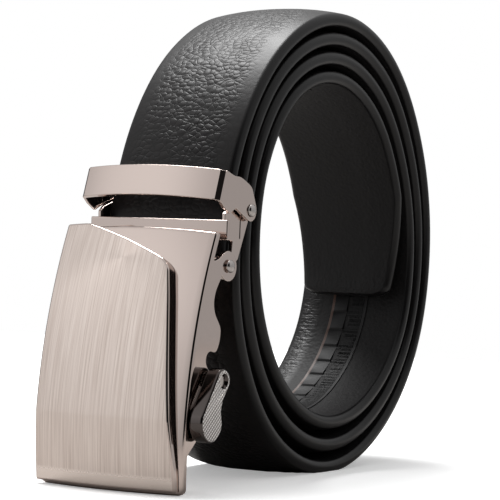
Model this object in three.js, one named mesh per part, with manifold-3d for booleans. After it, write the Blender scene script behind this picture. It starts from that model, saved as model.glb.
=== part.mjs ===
// Ratchet belt with a plate buckle, rolled up and standing on its strap.
// Millimetres, +Z up. X runs across the strap and the buckle's face looks towards -Y. The origin is on
// the surface that the roll stands on, below the middle of the roll.

import * as THREE from 'three';
import { mergeVertices } from 'three/addons/utils/BufferGeometryUtils.js';
import Module from 'manifold-3d';

const wasm = await Module();
wasm.setup();

// Clearances between pieces
const FIT_GAP = 0.3; // between pieces that sit against or turn beside each other
const STRAP_GAP = 0.5; // between the strap and the clamp round its end

// Strap, one black leather strip with painted edges
const STRAP_WIDTH = 35;
const STRAP_THICKNESS = 3.4; // at its edges
const STRAP_SWELL = 1.7; // how far its padded middle stands out above that
const TURN_GAP = 0.4; // between two turns, where the outer one presses on the padding
const FIRST_TURN_RADIUS = 62; // usual distance from the roll's middle to the first turn
const LAYER_PITCH = 5.4; // usual distance from one turn to the next
const TURNS = 3.555; // from the front of the roll, over the top, to the tip inside it
const STEPS_PER_TURN = 36;
const CLAMP_ROOM_ANGLE = 24; // degrees over which the inner turns give way behind the clamp
const TIP_INSET = 1.6; // how far the free tip springs in from the turn outside it
const REST_DENT = 2.1; // how far the padded middle is pressed flat where it stands
const TIP_TAPER_LENGTH = 29;
const TIP_WIDTH = 27.4;
const TIP_CORNER = 2.6;

// The turns' distance from the roll's middle, by the direction in degrees from the front over the top.
// reach is a share of FIRST_TURN_RADIUS and pitch a share of LAYER_PITCH.
const ROLL_TABLE = [
  { at: 0, reach: 0.942, pitch: 0.9 },
  { at: 30, reach: 0.937, pitch: 0.82 },
  { at: 60, reach: 0.965, pitch: 0.82 },
  { at: 90, reach: 1.002, pitch: 0.98 },
  { at: 120, reach: 1.01, pitch: 1.1 },
  { at: 150, reach: 0.984, pitch: 1.08 },
  { at: 180, reach: 0.985, pitch: 1.0 },
  { at: 210, reach: 1.011, pitch: 0.93 },
  { at: 240, reach: 1.031, pitch: 1.0 },
  { at: 270, reach: 1.053, pitch: 1.13 },
  { at: 300, reach: 1.035, pitch: 1.18 },
  { at: 330, reach: 0.977, pitch: 1.05 },
];

// Half of the strap's outer, crowned face, from the middle to the edge, and its inner corner.
// across is a share of half the width, up a share of the thickness and swell a share of STRAP_SWELL.
const OUTER_FACE = [
  { across: 0, up: 0.5, swell: 1 },
  { across: 0.5, up: 0.5, swell: 0.8 },
  { across: 0.82, up: 0.48, swell: 0.34 },
  { across: 0.96, up: 0.38, swell: 0.06 },
  { across: 1, up: 0.12, swell: 0 },
];
const INNER_EDGE = [
  { across: 1, up: -0.2, swell: 0 },
  { across: 0.955, up: -0.44, swell: 0 },
  { across: 0.88, up: -0.5, swell: 0 },
];

// Toothed track, let into the strap's inner face
const TRACK_WIDTH = 11.3;
const TRACK_OFFSET = -0.75; // of its middle from the strap's middle, towards +X
const TRACK_FROM_TIP = 75;
const TRACK_LENGTH = 330;
const TAIL_ON_TRACK = 200; // degrees of the last turn that lie against the track of the turn outside it
const TRACK_DEPTH = 0.5; // how far its base lies in the strap
const TOOTH_HEIGHT = 0.7;
const TOOTH_PITCH = 6;
const TOOTH_DROP = 0.5; // length of a tooth's steep side
const GROOVE_DRAFT = 0.15;

// Buckle housing: a bowed plate bent along its length, with a side wall along each edge
const HOUSING_PLAY = 0.7; // between the clamp and each of its walls
const PLATE_LENGTH = 65.5;
const PLATE_THICKNESS = 1.6;
const PLATE_BEND_RADIUS = 141.5;
const PLATE_STANDOFF = 19.45; // from the strap's face in the clamp to the plate's edges
const PLATE_UPRIGHT = 6.6; // along the plate from its bottom to where it stands upright
const PLATE_BOW = 2.2; // how far its middle stands in front of its edges
const PLATE_CORNER = 1.5; // radius of its lower corners
const WALL_THICKNESS = 1.2;
const WALL_DEPTH = 12;

// Rear edge of a side wall, from the bottom up.
// along is a share of PLATE_LENGTH from the plate's bottom and depth a share of WALL_DEPTH behind its face.
const WALL_EDGE = [
  { along: 0.124, depth: 0.1 },
  { along: 0.154, depth: 0.24 },
  { along: 0.184, depth: 0.42 },
  { along: 0.221, depth: 0.6 },
  { along: 0.282, depth: 0.75 },
  { along: 0.374, depth: 0.92 },
  { along: 0.458, depth: 1.0 },
  { along: 0.479, depth: 0.92 },
  { along: 0.484, depth: 0.73 },
  { along: 0.509, depth: 0.59 },
  { along: 0.54, depth: 0.59 },
  { along: 0.557, depth: 0.7 },
  { along: 0.56, depth: 0.88 },
  { along: 0.58, depth: 0.965 },
  { along: 0.618, depth: 1.0 },
  { along: 0.661, depth: 0.96 },
  { along: 0.685, depth: 0.825 },
  { along: 0.707, depth: 0.66 },
  { along: 0.743, depth: 0.535 },
  { along: 0.789, depth: 0.51 },
  { along: 0.834, depth: 0.57 },
];
const WALL_NECK = [
  { along: 0.918, depth: 0.37 },
  { along: 0.9, depth: 0.24 },
  { along: 0.896, depth: 0.1 },
];

// Hinge between the housing and the clamp
const HINGE_FROM_TOP = 5.4; // below the plate's top, along it
const HINGE_DEPTH = 9.3; // behind the plate's edge
const HINGE_LOBE_RADIUS = 4;
const HINGE_PIN_RADIUS = 1.1;
const KNUCKLE_RADIUS = 2.7;
const RIVET_HEAD_RADIUS = 1.65;
const RIVET_HEAD_HEIGHT = 0.85;

// Raised brushed panel on the plate
const PANEL_HEIGHT = 3.1;
const PANEL_LOW_HEIGHT = 1.5; // at its bottom edge
const PANEL_RAMP = 17; // length over which it drops to that
const PANEL_OVERHANG = 0.3; // past the plate's left edge
const PANEL_FOOT = 0.9; // from the plate's bottom
const PANEL_HEAD = 0.6; // from the plate's top
const PANEL_BEVEL = 0.35;

// Right edge of the panel, from the bottom up.
// along is a share of the panel's length and across a share of the housing's width from the middle.
const PANEL_OUTLINE = [
  { along: 0, across: 0.478 },
  { along: 0.09, across: 0.47 },
  { along: 0.25, across: 0.442 },
  { along: 0.4, across: 0.4145 },
  { along: 0.55, across: 0.384 },
  { along: 0.7, across: 0.346 },
  { along: 0.82, across: 0.306 },
  { along: 0.86, across: 0.278 },
  { along: 0.885, across: 0.22 },
  { along: 0.91, across: 0.115 },
  { along: 0.94, across: -0.03 },
  { along: 0.97, across: -0.18 },
  { along: 1, across: -0.33 },
];

// Clamp round the strap's end
const CLAMP_WALL = 0.9;
const CLAMP_STRIP_HEIGHT = 5;
const CLAMP_STRIP_RISE = 11.4; // of the strip's top above the hinge
const CLAMP_STRIP_INSET = 0.5; // of each end of the strip from the housing's side
const CLAMP_STRIP_THICKNESS = 1.3;
const CLAMP_STRIP_BOW = 1.4;
const CLAMP_WALL_RISE = 1.6; // of the side walls above the strip
const CLAMP_BACK_HEIGHT = 8;
const CLAMP_BACK_THICKNESS = 0.9;
const CLAMP_EAR_RADIUS = 2.8;

// Keeper: the bar in front of the strap and its two arms, which turn on a rivet at each side
const KEEPER_PIVOT_REAR = 11.3; // behind the clamp's front strip
const KEEPER_PIVOT_RISE = 2.7; // above the clamp's front strip
const KEEPER_PLAY = 0.6; // between the clamp and each of its arms
const KEEPER_BAR_HEIGHT = 8;
const KEEPER_BAR_THICKNESS = 1.3;
const KEEPER_BAR_TILT = 18.5; // degrees that its face leans back
const KEEPER_BAR_BOW = 3;
const KEEPER_BAR_REACH = 16.1; // from the pivot to the bar's lower edge, forwards
const KEEPER_BAR_RISE = 2.1; // from the pivot to the bar's lower edge, upwards
const KEEPER_CORNER = 1.1;
const ARM_THICKNESS = 0.9;
const ARM_EYE_RADIUS = 2.8;
const RIVET_SHANK_RADIUS = 1;

// Outline of an arm behind the bar's upper corner and back to its lower corner.
// back is a share of KEEPER_BAR_REACH towards the pivot and up a share of KEEPER_BAR_HEIGHT above it.
const ARM_TOP = [
  { back: 0.235, up: 0.93 },
  { back: 0.47, up: 0.79 },
  { back: 0.65, up: 0.76 },
  { back: 0.84, up: 0.63 },
  { back: 1.0, up: 0.47 },
  { back: 1.07, up: 0.22 },
  { back: 1.02, up: -0.02 },
];
const ARM_LOWER = [
  { back: 0.9, up: -0.52 },
  { back: 0.54, up: -0.225 },
  { back: 0.35, up: -0.28 },
  { back: 0.14, up: -0.1 },
];

// Release lever beside the right wall, its shaft and the pawl between the walls
const LEVER_ALONG = 0.443; // of its shaft from the plate's bottom, as a share of PLATE_LENGTH
const LEVER_DEPTH = 9; // of its shaft behind the plate's edge
const LEVER_THICKNESS = 4;
const LEVER_EYE_RADIUS = 3.1;
const LEVER_PAD_RADIUS = 4.9;
const LEVER_PAD_DROP = 9.9; // of the pad's middle below the shaft
const LEVER_PAD_FORWARD = 4.8; // of the pad's middle in front of the shaft
const LEVER_NECK = 3.3; // half width of the neck between them
const SHAFT_RADIUS = 1.5;
const SHAFT_RECESS = 0.7; // of the shaft's end below the lever's face
const PAWL_WIDTH = 26;
const PAWL_LENGTH = 15;
const PAWL_THICKNESS = 1.6;
const PAWL_TOOTH = 1.4;
const PAWL_HUB_RADIUS = 2.9;
const ROUND_STEPS = 16;

// Places across the belt, from the middle of the strap outwards

const clampInnerX = STRAP_WIDTH / 2 + STRAP_GAP;
const clampOuterX = clampInnerX + CLAMP_WALL;
const armInnerX = clampOuterX + KEEPER_PLAY;
const armOuterX = armInnerX + ARM_THICKNESS;
const wallInnerX = clampOuterX + HOUSING_PLAY;
const wallOuterX = wallInnerX + WALL_THICKNESS;
const keeperWidth = 2 * armOuterX;
const housingWidth = 2 * wallOuterX;
const stripWidth = housingWidth - 2 * CLAMP_STRIP_INSET;

// Tools that make and join solids

// Closed mesh from points and triangles, turned so that its faces point out.
function closedMesh(points, triangles) {
  const cross = new THREE.Vector3();
  let volume = 0;
  for (const [a, b, c] of triangles) {
    volume += points[a].dot(cross.crossVectors(points[b], points[c]));
  }
  const index = triangles.flatMap(([a, b, c]) => (volume > 0 ? [a, b, c] : [a, c, b]));
  const geometry = new THREE.BufferGeometry().setFromPoints(points);
  geometry.setIndex(index);
  return geometry;
}

// Solid swept through rings of points. Each ring runs along one face and back along the other.
function sweepRings(rings) {
  const count = rings[0].length;
  const triangles = [];
  for (let i = 0; i + 1 < rings.length; i++) {
    for (let j = 0; j < count; j++) {
      const a = i * count + j;
      const b = i * count + ((j + 1) % count);
      triangles.push([a, b, b + count], [a, b + count, a + count]);
    }
  }
  const last = (rings.length - 1) * count;
  for (let a = 0, b = count - 1; a + 1 < b; a++, b--) {
    triangles.push([a, b, a + 1], [last + a, last + a + 1, last + b]);
    if (a + 1 < b - 1) {
      triangles.push([a + 1, b, b - 1], [last + a + 1, last + b - 1, last + b]);
    }
  }
  return closedMesh(rings.flat(), triangles);
}

function toSolid(geometry) {
  const bare = geometry.clone();
  bare.deleteAttribute('normal');
  bare.deleteAttribute('uv');
  const merged = mergeVertices(bare, 1e-4);
  const vertProperties = merged.getAttribute('position').array;
  const triVerts = Uint32Array.from(merged.index.array);
  return new wasm.Manifold(new wasm.Mesh({ numProp: 3, vertProperties, triVerts }));
}

// One geometry from pieces that are joined and others that are cut away.
function joinAndCut(pieces, cuts = []) {
  let solid = toSolid(pieces[0]);
  for (const piece of pieces.slice(1)) solid = solid.add(toSolid(piece));
  for (const cut of cuts) solid = solid.subtract(toSolid(cut));
  const mesh = solid.getMesh();
  const geometry = new THREE.BufferGeometry();
  geometry.setAttribute('position', new THREE.Float32BufferAttribute(mesh.vertProperties, 3));
  geometry.setIndex(Array.from(mesh.triVerts));
  return geometry;
}

// Flat plate with an outline of { y, z } points, from x = low to x = high.
function sidePlate(outline, low, high) {
  const shape = new THREE.Shape(outline.map((p) => new THREE.Vector2(p.y, p.z)));
  const plate = new THREE.ExtrudeGeometry(shape, { depth: high - low, bevelEnabled: false });
  return layAcross(plate).translate(low, 0, 0);
}

// Turns what was extruded along z so that it runs along x, with its outline in y and z.
function layAcross(geometry) {
  const turn = new THREE.Matrix4().makeBasis(
    new THREE.Vector3(0, 1, 0),
    new THREE.Vector3(0, 0, 1),
    new THREE.Vector3(1, 0, 0),
  );
  return geometry.applyMatrix4(turn);
}

// Round bar along x.
function rod(radius, low, high, y, z) {
  const bar = new THREE.CylinderGeometry(radius, radius, high - low, ROUND_STEPS);
  return bar.rotateZ(-Math.PI / 2).translate((low + high) / 2, y, z);
}

// Rivet along x with a domed head on each end that has a head height.
function rivet(radius, low, high, lowHead, highHead) {
  const profile = [];
  const dome = (at, height) => {
    for (let i = 0; i <= 3; i++) {
      const turn = (i / 3) * (Math.PI / 2);
      profile.push([RIVET_HEAD_RADIUS * Math.sin(turn), at + height * Math.cos(turn)]);
    }
  };
  if (lowHead > 0) dome(low, -lowHead);
  else profile.push([0, low]);
  profile.push([radius, low], [radius, high]);
  if (highHead > 0) {
    const start = profile.length;
    dome(high, highHead);
    profile.push(...profile.splice(start).reverse());
  } else {
    profile.push([0, high]);
  }
  const points = profile.map(([r, x]) => new THREE.Vector2(r, x));
  return new THREE.LatheGeometry(points, ROUND_STEPS).rotateZ(-Math.PI / 2);
}

// Points of a smooth curve through an outline.
function smooth(outline, steps) {
  const curve = new THREE.SplineCurve(outline.map((p) => new THREE.Vector2(p.y, p.z)));
  return curve.getPoints(steps).map((p) => ({ y: p.x, z: p.y }));
}

function circle(centre, radius) {
  return Array.from({ length: ROUND_STEPS }, (_, i) => {
    const turn = (i / ROUND_STEPS) * 2 * Math.PI;
    return { y: centre.y + radius * Math.cos(turn), z: centre.z + radius * Math.sin(turn) };
  });
}

const bowed = (x, width, bow) => bow * (1 - (2 * x / width) ** 2);

// Heights of the buckle, which stands on the plate's bottom edge

const plateStart = -PLATE_UPRIGHT / PLATE_BEND_RADIUS;
const bendCentreZ = -(PLATE_BEND_RADIUS + PLATE_BOW) * Math.sin(plateStart);

function plateHeight(along, out) {
  const turn = plateStart + along / PLATE_BEND_RADIUS;
  return bendCentreZ + (PLATE_BEND_RADIUS + out) * Math.sin(turn);
}

const hingeAlong = PLATE_LENGTH - HINGE_FROM_TOP;
const hingeZ = plateHeight(hingeAlong, -HINGE_DEPTH);
const strapEndZ = hingeZ + KNUCKLE_RADIUS + FIT_GAP;
const stripTopZ = hingeZ + CLAMP_STRIP_RISE;
const stripBottomZ = stripTopZ - CLAMP_STRIP_HEIGHT;

// Path of the strap

const degrees = (radians) => (radians * 180) / Math.PI;
const radians = (angle) => (angle * Math.PI) / 180;

// A column of ROLL_TABLE at any angle, on a smooth closed curve through its rows.
function rollColumn(column, angle) {
  const rows = ROLL_TABLE.length;
  const place = ((((angle % 360) + 360) % 360) / 360) * rows;
  const row = Math.floor(place);
  const [a, b, c, d] = [-1, 0, 1, 2].map((i) => ROLL_TABLE[(row + i + rows) % rows][column]);
  const t = place - row;
  const slopes = (c - a) * t + (2 * a - 5 * b + 4 * c - d) * t ** 2 + (3 * (b - c) + d - a) * t ** 3;
  return b + slopes / 2;
}

const endAngle = TURNS * 360;

// Distance from the roll's middle to the strap's middle, at an angle from the front over the top
function turnRadius(angle) {
  const reach = FIRST_TURN_RADIUS * rollColumn('reach', angle);
  const pitch = LAYER_PITCH * rollColumn('pitch', angle);
  return reach - (pitch * Math.max(0, angle)) / 360;
}

const underside = (angle) =>
  turnRadius(angle) * Math.sin(radians(angle)) - STRAP_THICKNESS / 2 - STRAP_SWELL;
const lowerHalf = Array.from({ length: 361 }, (_, i) => 180 + i / 2);
const rollCentreZ = -Math.min(...lowerHalf.map(underside)) - REST_DENT;

// Where the first turn meets and leaves the surface that it stands on
const pressed = lowerHalf.filter((angle) => underside(angle) + rollCentreZ < 0);
const restAngles = [pressed[0], pressed.at(-1)];

// Angles at which the strap's end and the middle of the clamp lie
const angleAt = (z) => degrees(Math.asin((z - rollCentreZ) / turnRadius(0)));
const startAngle = angleAt(strapEndZ);
const clampAngle = angleAt((hingeZ + stripTopZ) / 2);

// How far the inner turns give way, so that the second turn stays clear of the clamp's back
const clampReach = stripTopZ + CLAMP_WALL_RISE - strapEndZ;
const acrossClamp = [0, 0.25, 0.5, 0.75, 1].map((share) => angleAt(strapEndZ + share * clampReach));
const faceY = (angle, out) => -(turnRadius(angle) + out) * Math.cos(radians(angle));
const firstTurnBack = Math.max(...acrossClamp.map((angle) => faceY(angle, -STRAP_THICKNESS / 2)));
const secondTurnFront = Math.min(...acrossClamp.map((angle) => faceY(angle + 360, STRAP_THICKNESS / 2)));
const clampDepth = STRAP_GAP + CLAMP_BACK_THICKNESS + TURN_GAP;
const clampRoom = Math.max(0, firstTurnBack + clampDepth - secondTurnFront);

// The same distance with the free tip sprung in, and the inner turns giving way behind the clamp
function rollRadius(angle) {
  const fromClamp = angle - clampAngle - 360 * Math.max(1, Math.round((angle - clampAngle) / 360));
  const room = clampRoom * Math.exp(-((fromClamp / CLAMP_ROOM_ANGLE) ** 2));
  const innerTurn = angle > 180 ? room : 0;
  const tip = Math.max(0, 1 - (endAngle - angle) / 90);
  return turnRadius(angle) - innerTurn - TIP_INSET * tip * tip;
}

function rollPoint(angle) {
  const radius = rollRadius(angle);
  return { y: -radius * Math.cos(radians(angle)), z: radius * Math.sin(radians(angle)) };
}

// Padding above the strap's edges. The first turn is free, and the turns inside it are pressed
// between their neighbours, and flat behind the clamp.
function swellAt(angle) {
  const teeth = angle > endAngle - TAIL_ON_TRACK ? TOOTH_HEIGHT : 0;
  const room = LAYER_PITCH * rollColumn('pitch', angle) - STRAP_THICKNESS - TURN_GAP - teeth;
  const fromClamp = (angle - clampAngle - 360) / CLAMP_ROOM_ANGLE;
  const behindClamp = 1 - Math.exp(-(fromClamp ** 4));
  const inner = Math.max(0, Math.min(STRAP_SWELL, room)) * behindClamp;
  const share = Math.min(1, Math.max(0, (angle - 320) / 30));
  return STRAP_SWELL + (inner - STRAP_SWELL) * share;
}

// A cross-section of the strap: its middle, its outward direction and its distance from the start.
function stationAt(angle) {
  const here = rollPoint(angle);
  const before = rollPoint(angle - 0.5);
  const after = rollPoint(angle + 0.5);
  const size = Math.hypot(after.y - before.y, after.z - before.z);
  return {
    swell: swellAt(angle),
    y: here.y,
    z: here.z + rollCentreZ,
    outY: -(after.z - before.z) / size,
    outZ: (after.y - before.y) / size,
  };
}

function strapStations() {
  const tipRadius = rollRadius(endAngle);
  const fromTip = (distance) => endAngle - degrees(distance / tipRadius);
  const tip = [TIP_TAPER_LENGTH, TIP_CORNER, TIP_CORNER * 0.45, TIP_CORNER * 0.12, 0].map(fromTip);
  const special = [...restAngles, ...tip];
  const angles = [startAngle, ...special];
  const step = 360 / STEPS_PER_TURN;
  const count = Math.floor((endAngle - startAngle) / step);
  for (let i = 1; i <= count; i++) {
    const angle = startAngle + i * step;
    const nearest = Math.min(...special.map((other) => Math.abs(other - angle)));
    if (nearest > step / 4 && angle < tip[1]) angles.push(angle);
  }
  angles.sort((a, b) => a - b);
  const stations = angles.map(stationAt);
  stations[0].along = 0;
  for (let i = 1; i < stations.length; i++) {
    const [p, q] = [stations[i - 1], stations[i]];
    q.along = p.along + Math.hypot(q.y - p.y, q.z - p.z);
  }
  return stations;
}

const stations = strapStations();
const strapLength = stations.at(-1).along;
const trackEnd = strapLength - TRACK_FROM_TIP;
const trackStart = trackEnd - TRACK_LENGTH;

// Point on the strap: across its width and out from its middle, never below what it stands on.
function strapPoint(station, across, out) {
  const y = station.y + station.outY * out;
  const z = station.z + station.outZ * out;
  return new THREE.Vector3(across, y, Math.max(0, z));
}

function strapHalfWidth(along) {
  const left = strapLength - along;
  const taper = Math.max(0, 1 - left / TIP_TAPER_LENGTH);
  const side = STRAP_WIDTH / 2 - ((STRAP_WIDTH - TIP_WIDTH) / 2) * taper;
  const turn = Math.max(0, 1 - left / TIP_CORNER);
  return side - TIP_CORNER * (1 - Math.sqrt(1 - turn * turn));
}

function makeStrap() {
  const longestStep = (2 * Math.PI * FIRST_TURN_RADIUS) / STEPS_PER_TURN;
  const grooveLow = TRACK_OFFSET - TRACK_WIDTH / 2 - FIT_GAP;
  const grooveHigh = TRACK_OFFSET + TRACK_WIDTH / 2 + FIT_GAP;
  const rings = stations.map((station) => {
    const half = strapHalfWidth(station.along);
    const inTrack = station.along > trackStart - longestStep && station.along < trackEnd + longestStep;
    const groove = inTrack ? TRACK_DEPTH + FIT_GAP : 0;
    const inner = -STRAP_THICKNESS / 2;
    const at = (row, side) => {
      const out = STRAP_THICKNESS * row.up + station.swell * row.swell;
      return strapPoint(station, side * half * row.across, out);
    };
    return [
      ...OUTER_FACE.map((row) => at(row, 1)).reverse(),
      ...OUTER_FACE.slice(1).map((row) => at(row, -1)),
      ...INNER_EDGE.map((row) => at(row, -1)),
      strapPoint(station, grooveLow - GROOVE_DRAFT, inner),
      strapPoint(station, grooveLow, inner + groove),
      strapPoint(station, grooveHigh, inner + groove),
      strapPoint(station, grooveHigh + GROOVE_DRAFT, inner),
      ...INNER_EDGE.map((row) => at(row, 1)).reverse(),
    ];
  });
  return sweepRings(rings);
}

// The strap's cross-section at any distance, on the straight stretch between two stations.
function between(along) {
  const next = stations.findIndex((station) => station.along >= along);
  const [p, q] = [stations[next - 1], stations[next]];
  const t = (along - p.along) / (q.along - p.along);
  const mix = (name) => p[name] + (q[name] - p[name]) * t;
  return { y: mix('y'), z: mix('z'), outY: mix('outY'), outZ: mix('outZ'), swell: mix('swell') };
}

function makeTrack() {
  const base = -STRAP_THICKNESS / 2 + TRACK_DEPTH;
  const face = -STRAP_THICKNESS / 2;
  const low = TRACK_OFFSET - TRACK_WIDTH / 2;
  const high = TRACK_OFFSET + TRACK_WIDTH / 2;
  const teeth = Math.floor(TRACK_LENGTH / TOOTH_PITCH);
  const rings = [];
  const addRing = (along, tooth) => {
    const place = between(along);
    const point = (across, out) => strapPoint(place, across, out);
    rings.push([
      point(low, base),
      point(high, base),
      point(high, face - tooth),
      point(low, face - tooth),
    ]);
  };
  for (let i = 0; i < teeth; i++) {
    const along = trackStart + i * TOOTH_PITCH;
    addRing(along, 0);
    addRing(along + TOOTH_PITCH - TOOTH_DROP, TOOTH_HEIGHT);
  }
  addRing(trackStart + teeth * TOOTH_PITCH, 0);
  return sweepRings(rings);
}

// Places across the belt, from the strap in the clamp out to the plate

const inClamp = [0.01, 0.25, 0.5, 0.75, 1].map((share) => between(share * clampReach));
const strapFront = (place) => place.y + place.outY * (STRAP_THICKNESS / 2 + place.swell);
const strapFrontY = Math.min(...inClamp.map(strapFront));
const strapBack = (place) => place.y - place.outY * (STRAP_THICKNESS / 2);
const strapBackY = Math.max(...inClamp.map(strapBack));
const stripBackY = strapFrontY - STRAP_GAP;
const stripFrontY = stripBackY - CLAMP_STRIP_THICKNESS;
const bendCentreY = strapFrontY - PLATE_STANDOFF + PLATE_BEND_RADIUS;

// Point on the bent plate: along from its bottom edge and out in front of its edges.
function onPlate(along, out) {
  const turn = plateStart + along / PLATE_BEND_RADIUS;
  const y = bendCentreY - (PLATE_BEND_RADIUS + out) * Math.cos(turn);
  return { y, z: plateHeight(along, out) };
}

const hinge = onPlate(hingeAlong, -HINGE_DEPTH);
const shaftAlong = LEVER_ALONG * PLATE_LENGTH;
const shaft = onPlate(shaftAlong, -LEVER_DEPTH);
const pivot = { y: stripFrontY + KEEPER_PIVOT_REAR, z: stripTopZ + KEEPER_PIVOT_RISE };

// Clamp: front strip, side walls with the keeper's ears, back and hinge knuckle

function makeClamp() {
  const pieces = [];

  const columns = 8;
  const rings = [stripBottomZ, stripTopZ].map((z) => {
    const front = [];
    const back = [];
    for (let i = 0; i <= columns; i++) {
      const x = stripWidth * (0.5 - i / columns);
      front.push(new THREE.Vector3(x, stripFrontY - bowed(x, stripWidth, CLAMP_STRIP_BOW), z));
      back.unshift(new THREE.Vector3(x, stripBackY, z));
    }
    return [...front, ...back];
  });
  pieces.push(sweepRings(rings));

  const middleY = (stripFrontY + stripBackY) / 2;
  const tongue = [
    { y: stripBackY, z: stripBottomZ + CLAMP_STRIP_HEIGHT / 2 },
    { y: stripFrontY, z: stripBottomZ + CLAMP_STRIP_HEIGHT / 2 },
    { y: Math.min(stripFrontY, hinge.y), z: hinge.z },
    { y: Math.max(stripBackY, hinge.y), z: hinge.z },
  ];
  pieces.push(sidePlate(tongue, -clampOuterX, clampOuterX));
  pieces.push(rod(KNUCKLE_RADIUS, -clampOuterX, clampOuterX, hinge.y, hinge.z));

  const backY = strapBackY + STRAP_GAP;
  const back = [
    { y: backY, z: strapEndZ + 1 },
    { y: backY + CLAMP_BACK_THICKNESS, z: strapEndZ + 1 },
    { y: backY + CLAMP_BACK_THICKNESS, z: strapEndZ + 1 + CLAMP_BACK_HEIGHT },
    { y: backY, z: strapEndZ + 1 + CLAMP_BACK_HEIGHT },
  ];
  pieces.push(sidePlate(back, -clampOuterX, clampOuterX));

  const wall = [
    { y: middleY, z: hinge.z },
    { y: backY, z: strapEndZ - 0.5 },
    { y: backY + CLAMP_BACK_THICKNESS + 0.4, z: strapEndZ + 2 },
    { y: pivot.y + CLAMP_EAR_RADIUS * 0.5, z: pivot.z - CLAMP_EAR_RADIUS * 0.85 },
    { y: pivot.y, z: pivot.z + CLAMP_EAR_RADIUS * 0.9 },
    { y: middleY, z: stripTopZ + CLAMP_WALL_RISE },
  ];
  for (const low of [-clampOuterX, clampInnerX]) {
    pieces.push(sidePlate(wall, low, low + CLAMP_WALL));
    pieces.push(sidePlate(circle(pivot, CLAMP_EAR_RADIUS), low, low + CLAMP_WALL));
  }

  const reach = housingWidth;
  return joinAndCut(pieces, [
    rod(HINGE_PIN_RADIUS + FIT_GAP, -reach, reach, hinge.y, hinge.z),
    rod(RIVET_SHANK_RADIUS + FIT_GAP, -reach, reach, pivot.y, pivot.z),
  ]);
}

// Keeper, built round its pivot

const tilt = radians(KEEPER_BAR_TILT);
const barFoot = { y: -KEEPER_BAR_REACH, z: KEEPER_BAR_RISE };

function makeKeeper() {
  const columns = 12;
  const halfFlat = keeperWidth / 2 - KEEPER_CORNER;
  const acrossBar = [keeperWidth / 2];
  for (let i = 0; i <= columns; i++) acrossBar.push(halfFlat * (1 - (2 * i) / columns));
  acrossBar.push(-keeperWidth / 2);
  const rings = [0, KEEPER_BAR_HEIGHT].map((up) => {
    const point = (x, out) =>
      new THREE.Vector3(
        x,
        barFoot.y + up * Math.sin(tilt) - out * Math.cos(tilt),
        barFoot.z + up * Math.cos(tilt) + out * Math.sin(tilt),
      );
    const outAt = (x) => bowed(x, keeperWidth, KEEPER_BAR_BOW);
    const isEnd = (x) => Math.abs(x) > halfFlat + 0.01;
    const front = acrossBar.map((x) => point(x, outAt(x) - (isEnd(x) ? KEEPER_CORNER * 0.7 : 0)));
    const back = acrossBar.map((x) => point(x, outAt(x) - KEEPER_BAR_THICKNESS)).reverse();
    return [...front, ...back];
  });

  const place = (row) => ({
    y: barFoot.y + row.back * KEEPER_BAR_REACH,
    z: barFoot.z + row.up * KEEPER_BAR_HEIGHT,
  });
  const inBar = KEEPER_BAR_THICKNESS * 0.85;
  const arm = [
    { y: barFoot.y + inBar * Math.cos(tilt), z: barFoot.z - inBar * Math.sin(tilt) },
    {
      y: barFoot.y + inBar * Math.cos(tilt) + KEEPER_BAR_HEIGHT * Math.sin(tilt),
      z: barFoot.z - inBar * Math.sin(tilt) + KEEPER_BAR_HEIGHT * Math.cos(tilt),
    },
    ...smooth(ARM_TOP.map(place), 12),
    ...ARM_LOWER.map(place),
  ];
  const pieces = [sweepRings(rings)];
  for (const low of [-armOuterX, armInnerX]) {
    pieces.push(sidePlate(arm, low, low + ARM_THICKNESS));
    pieces.push(sidePlate(circle({ y: 0, z: 0 }, ARM_EYE_RADIUS), low, low + ARM_THICKNESS));
  }
  return joinAndCut(pieces, [rod(RIVET_SHANK_RADIUS + FIT_GAP, -keeperWidth, keeperWidth, 0, 0)]);
}

// Housing: bowed plate and side walls

function makeHousing() {
  const columns = 12;
  const rows = 14;
  const rings = [];
  const steps = [0, 0.12, 0.45].map((share) => share * PLATE_CORNER);
  for (let j = 1; j <= rows; j++) steps.push((PLATE_LENGTH * j) / rows);
  for (const along of steps) {
    const turn = Math.max(0, 1 - along / PLATE_CORNER);
    const width = housingWidth - 2 * PLATE_CORNER * (1 - Math.sqrt(1 - turn * turn));
    const face = (set) => {
      const line = [];
      for (let i = 0; i <= columns; i++) {
        const x = width * (0.5 - i / columns);
        const p = onPlate(along, bowed(x, housingWidth, PLATE_BOW) - set);
        line.push(new THREE.Vector3(x, p.y, along === 0 ? 0 : Math.max(0, p.z)));
      }
      return line;
    };
    rings.push([...face(0), ...face(PLATE_THICKNESS).reverse()]);
  }

  const place = (row) => onPlate(row.along * PLATE_LENGTH, -row.depth * WALL_DEPTH);
  const front = [];
  for (let j = rows; j >= 0; j--) {
    const along = PLATE_LENGTH * (WALL_EDGE[0].along + ((WALL_NECK.at(-1).along - WALL_EDGE[0].along) * j) / rows);
    front.push(onPlate(along, -PLATE_THICKNESS * 0.6));
  }
  const lobe = onPlate(hingeAlong, -HINGE_DEPTH + HINGE_LOBE_RADIUS * 0.6);
  const wall = [...smooth(WALL_EDGE.map(place), 44), lobe, ...smooth(WALL_NECK.map(place), 6), ...front];
  const pieces = [sweepRings(rings)];
  for (const low of [-wallOuterX, wallInnerX]) {
    pieces.push(sidePlate(wall, low, low + WALL_THICKNESS));
    pieces.push(sidePlate(circle(hinge, HINGE_LOBE_RADIUS), low, low + WALL_THICKNESS));
  }
  const reach = housingWidth;
  return joinAndCut(pieces, [
    rod(HINGE_PIN_RADIUS + FIT_GAP, -reach, reach, hinge.y, hinge.z),
    rod(SHAFT_RADIUS + FIT_GAP, -reach, reach, shaft.y, shaft.z),
  ]);
}

// Raised panel on the plate, with a slanted right edge and a cut corner

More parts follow.
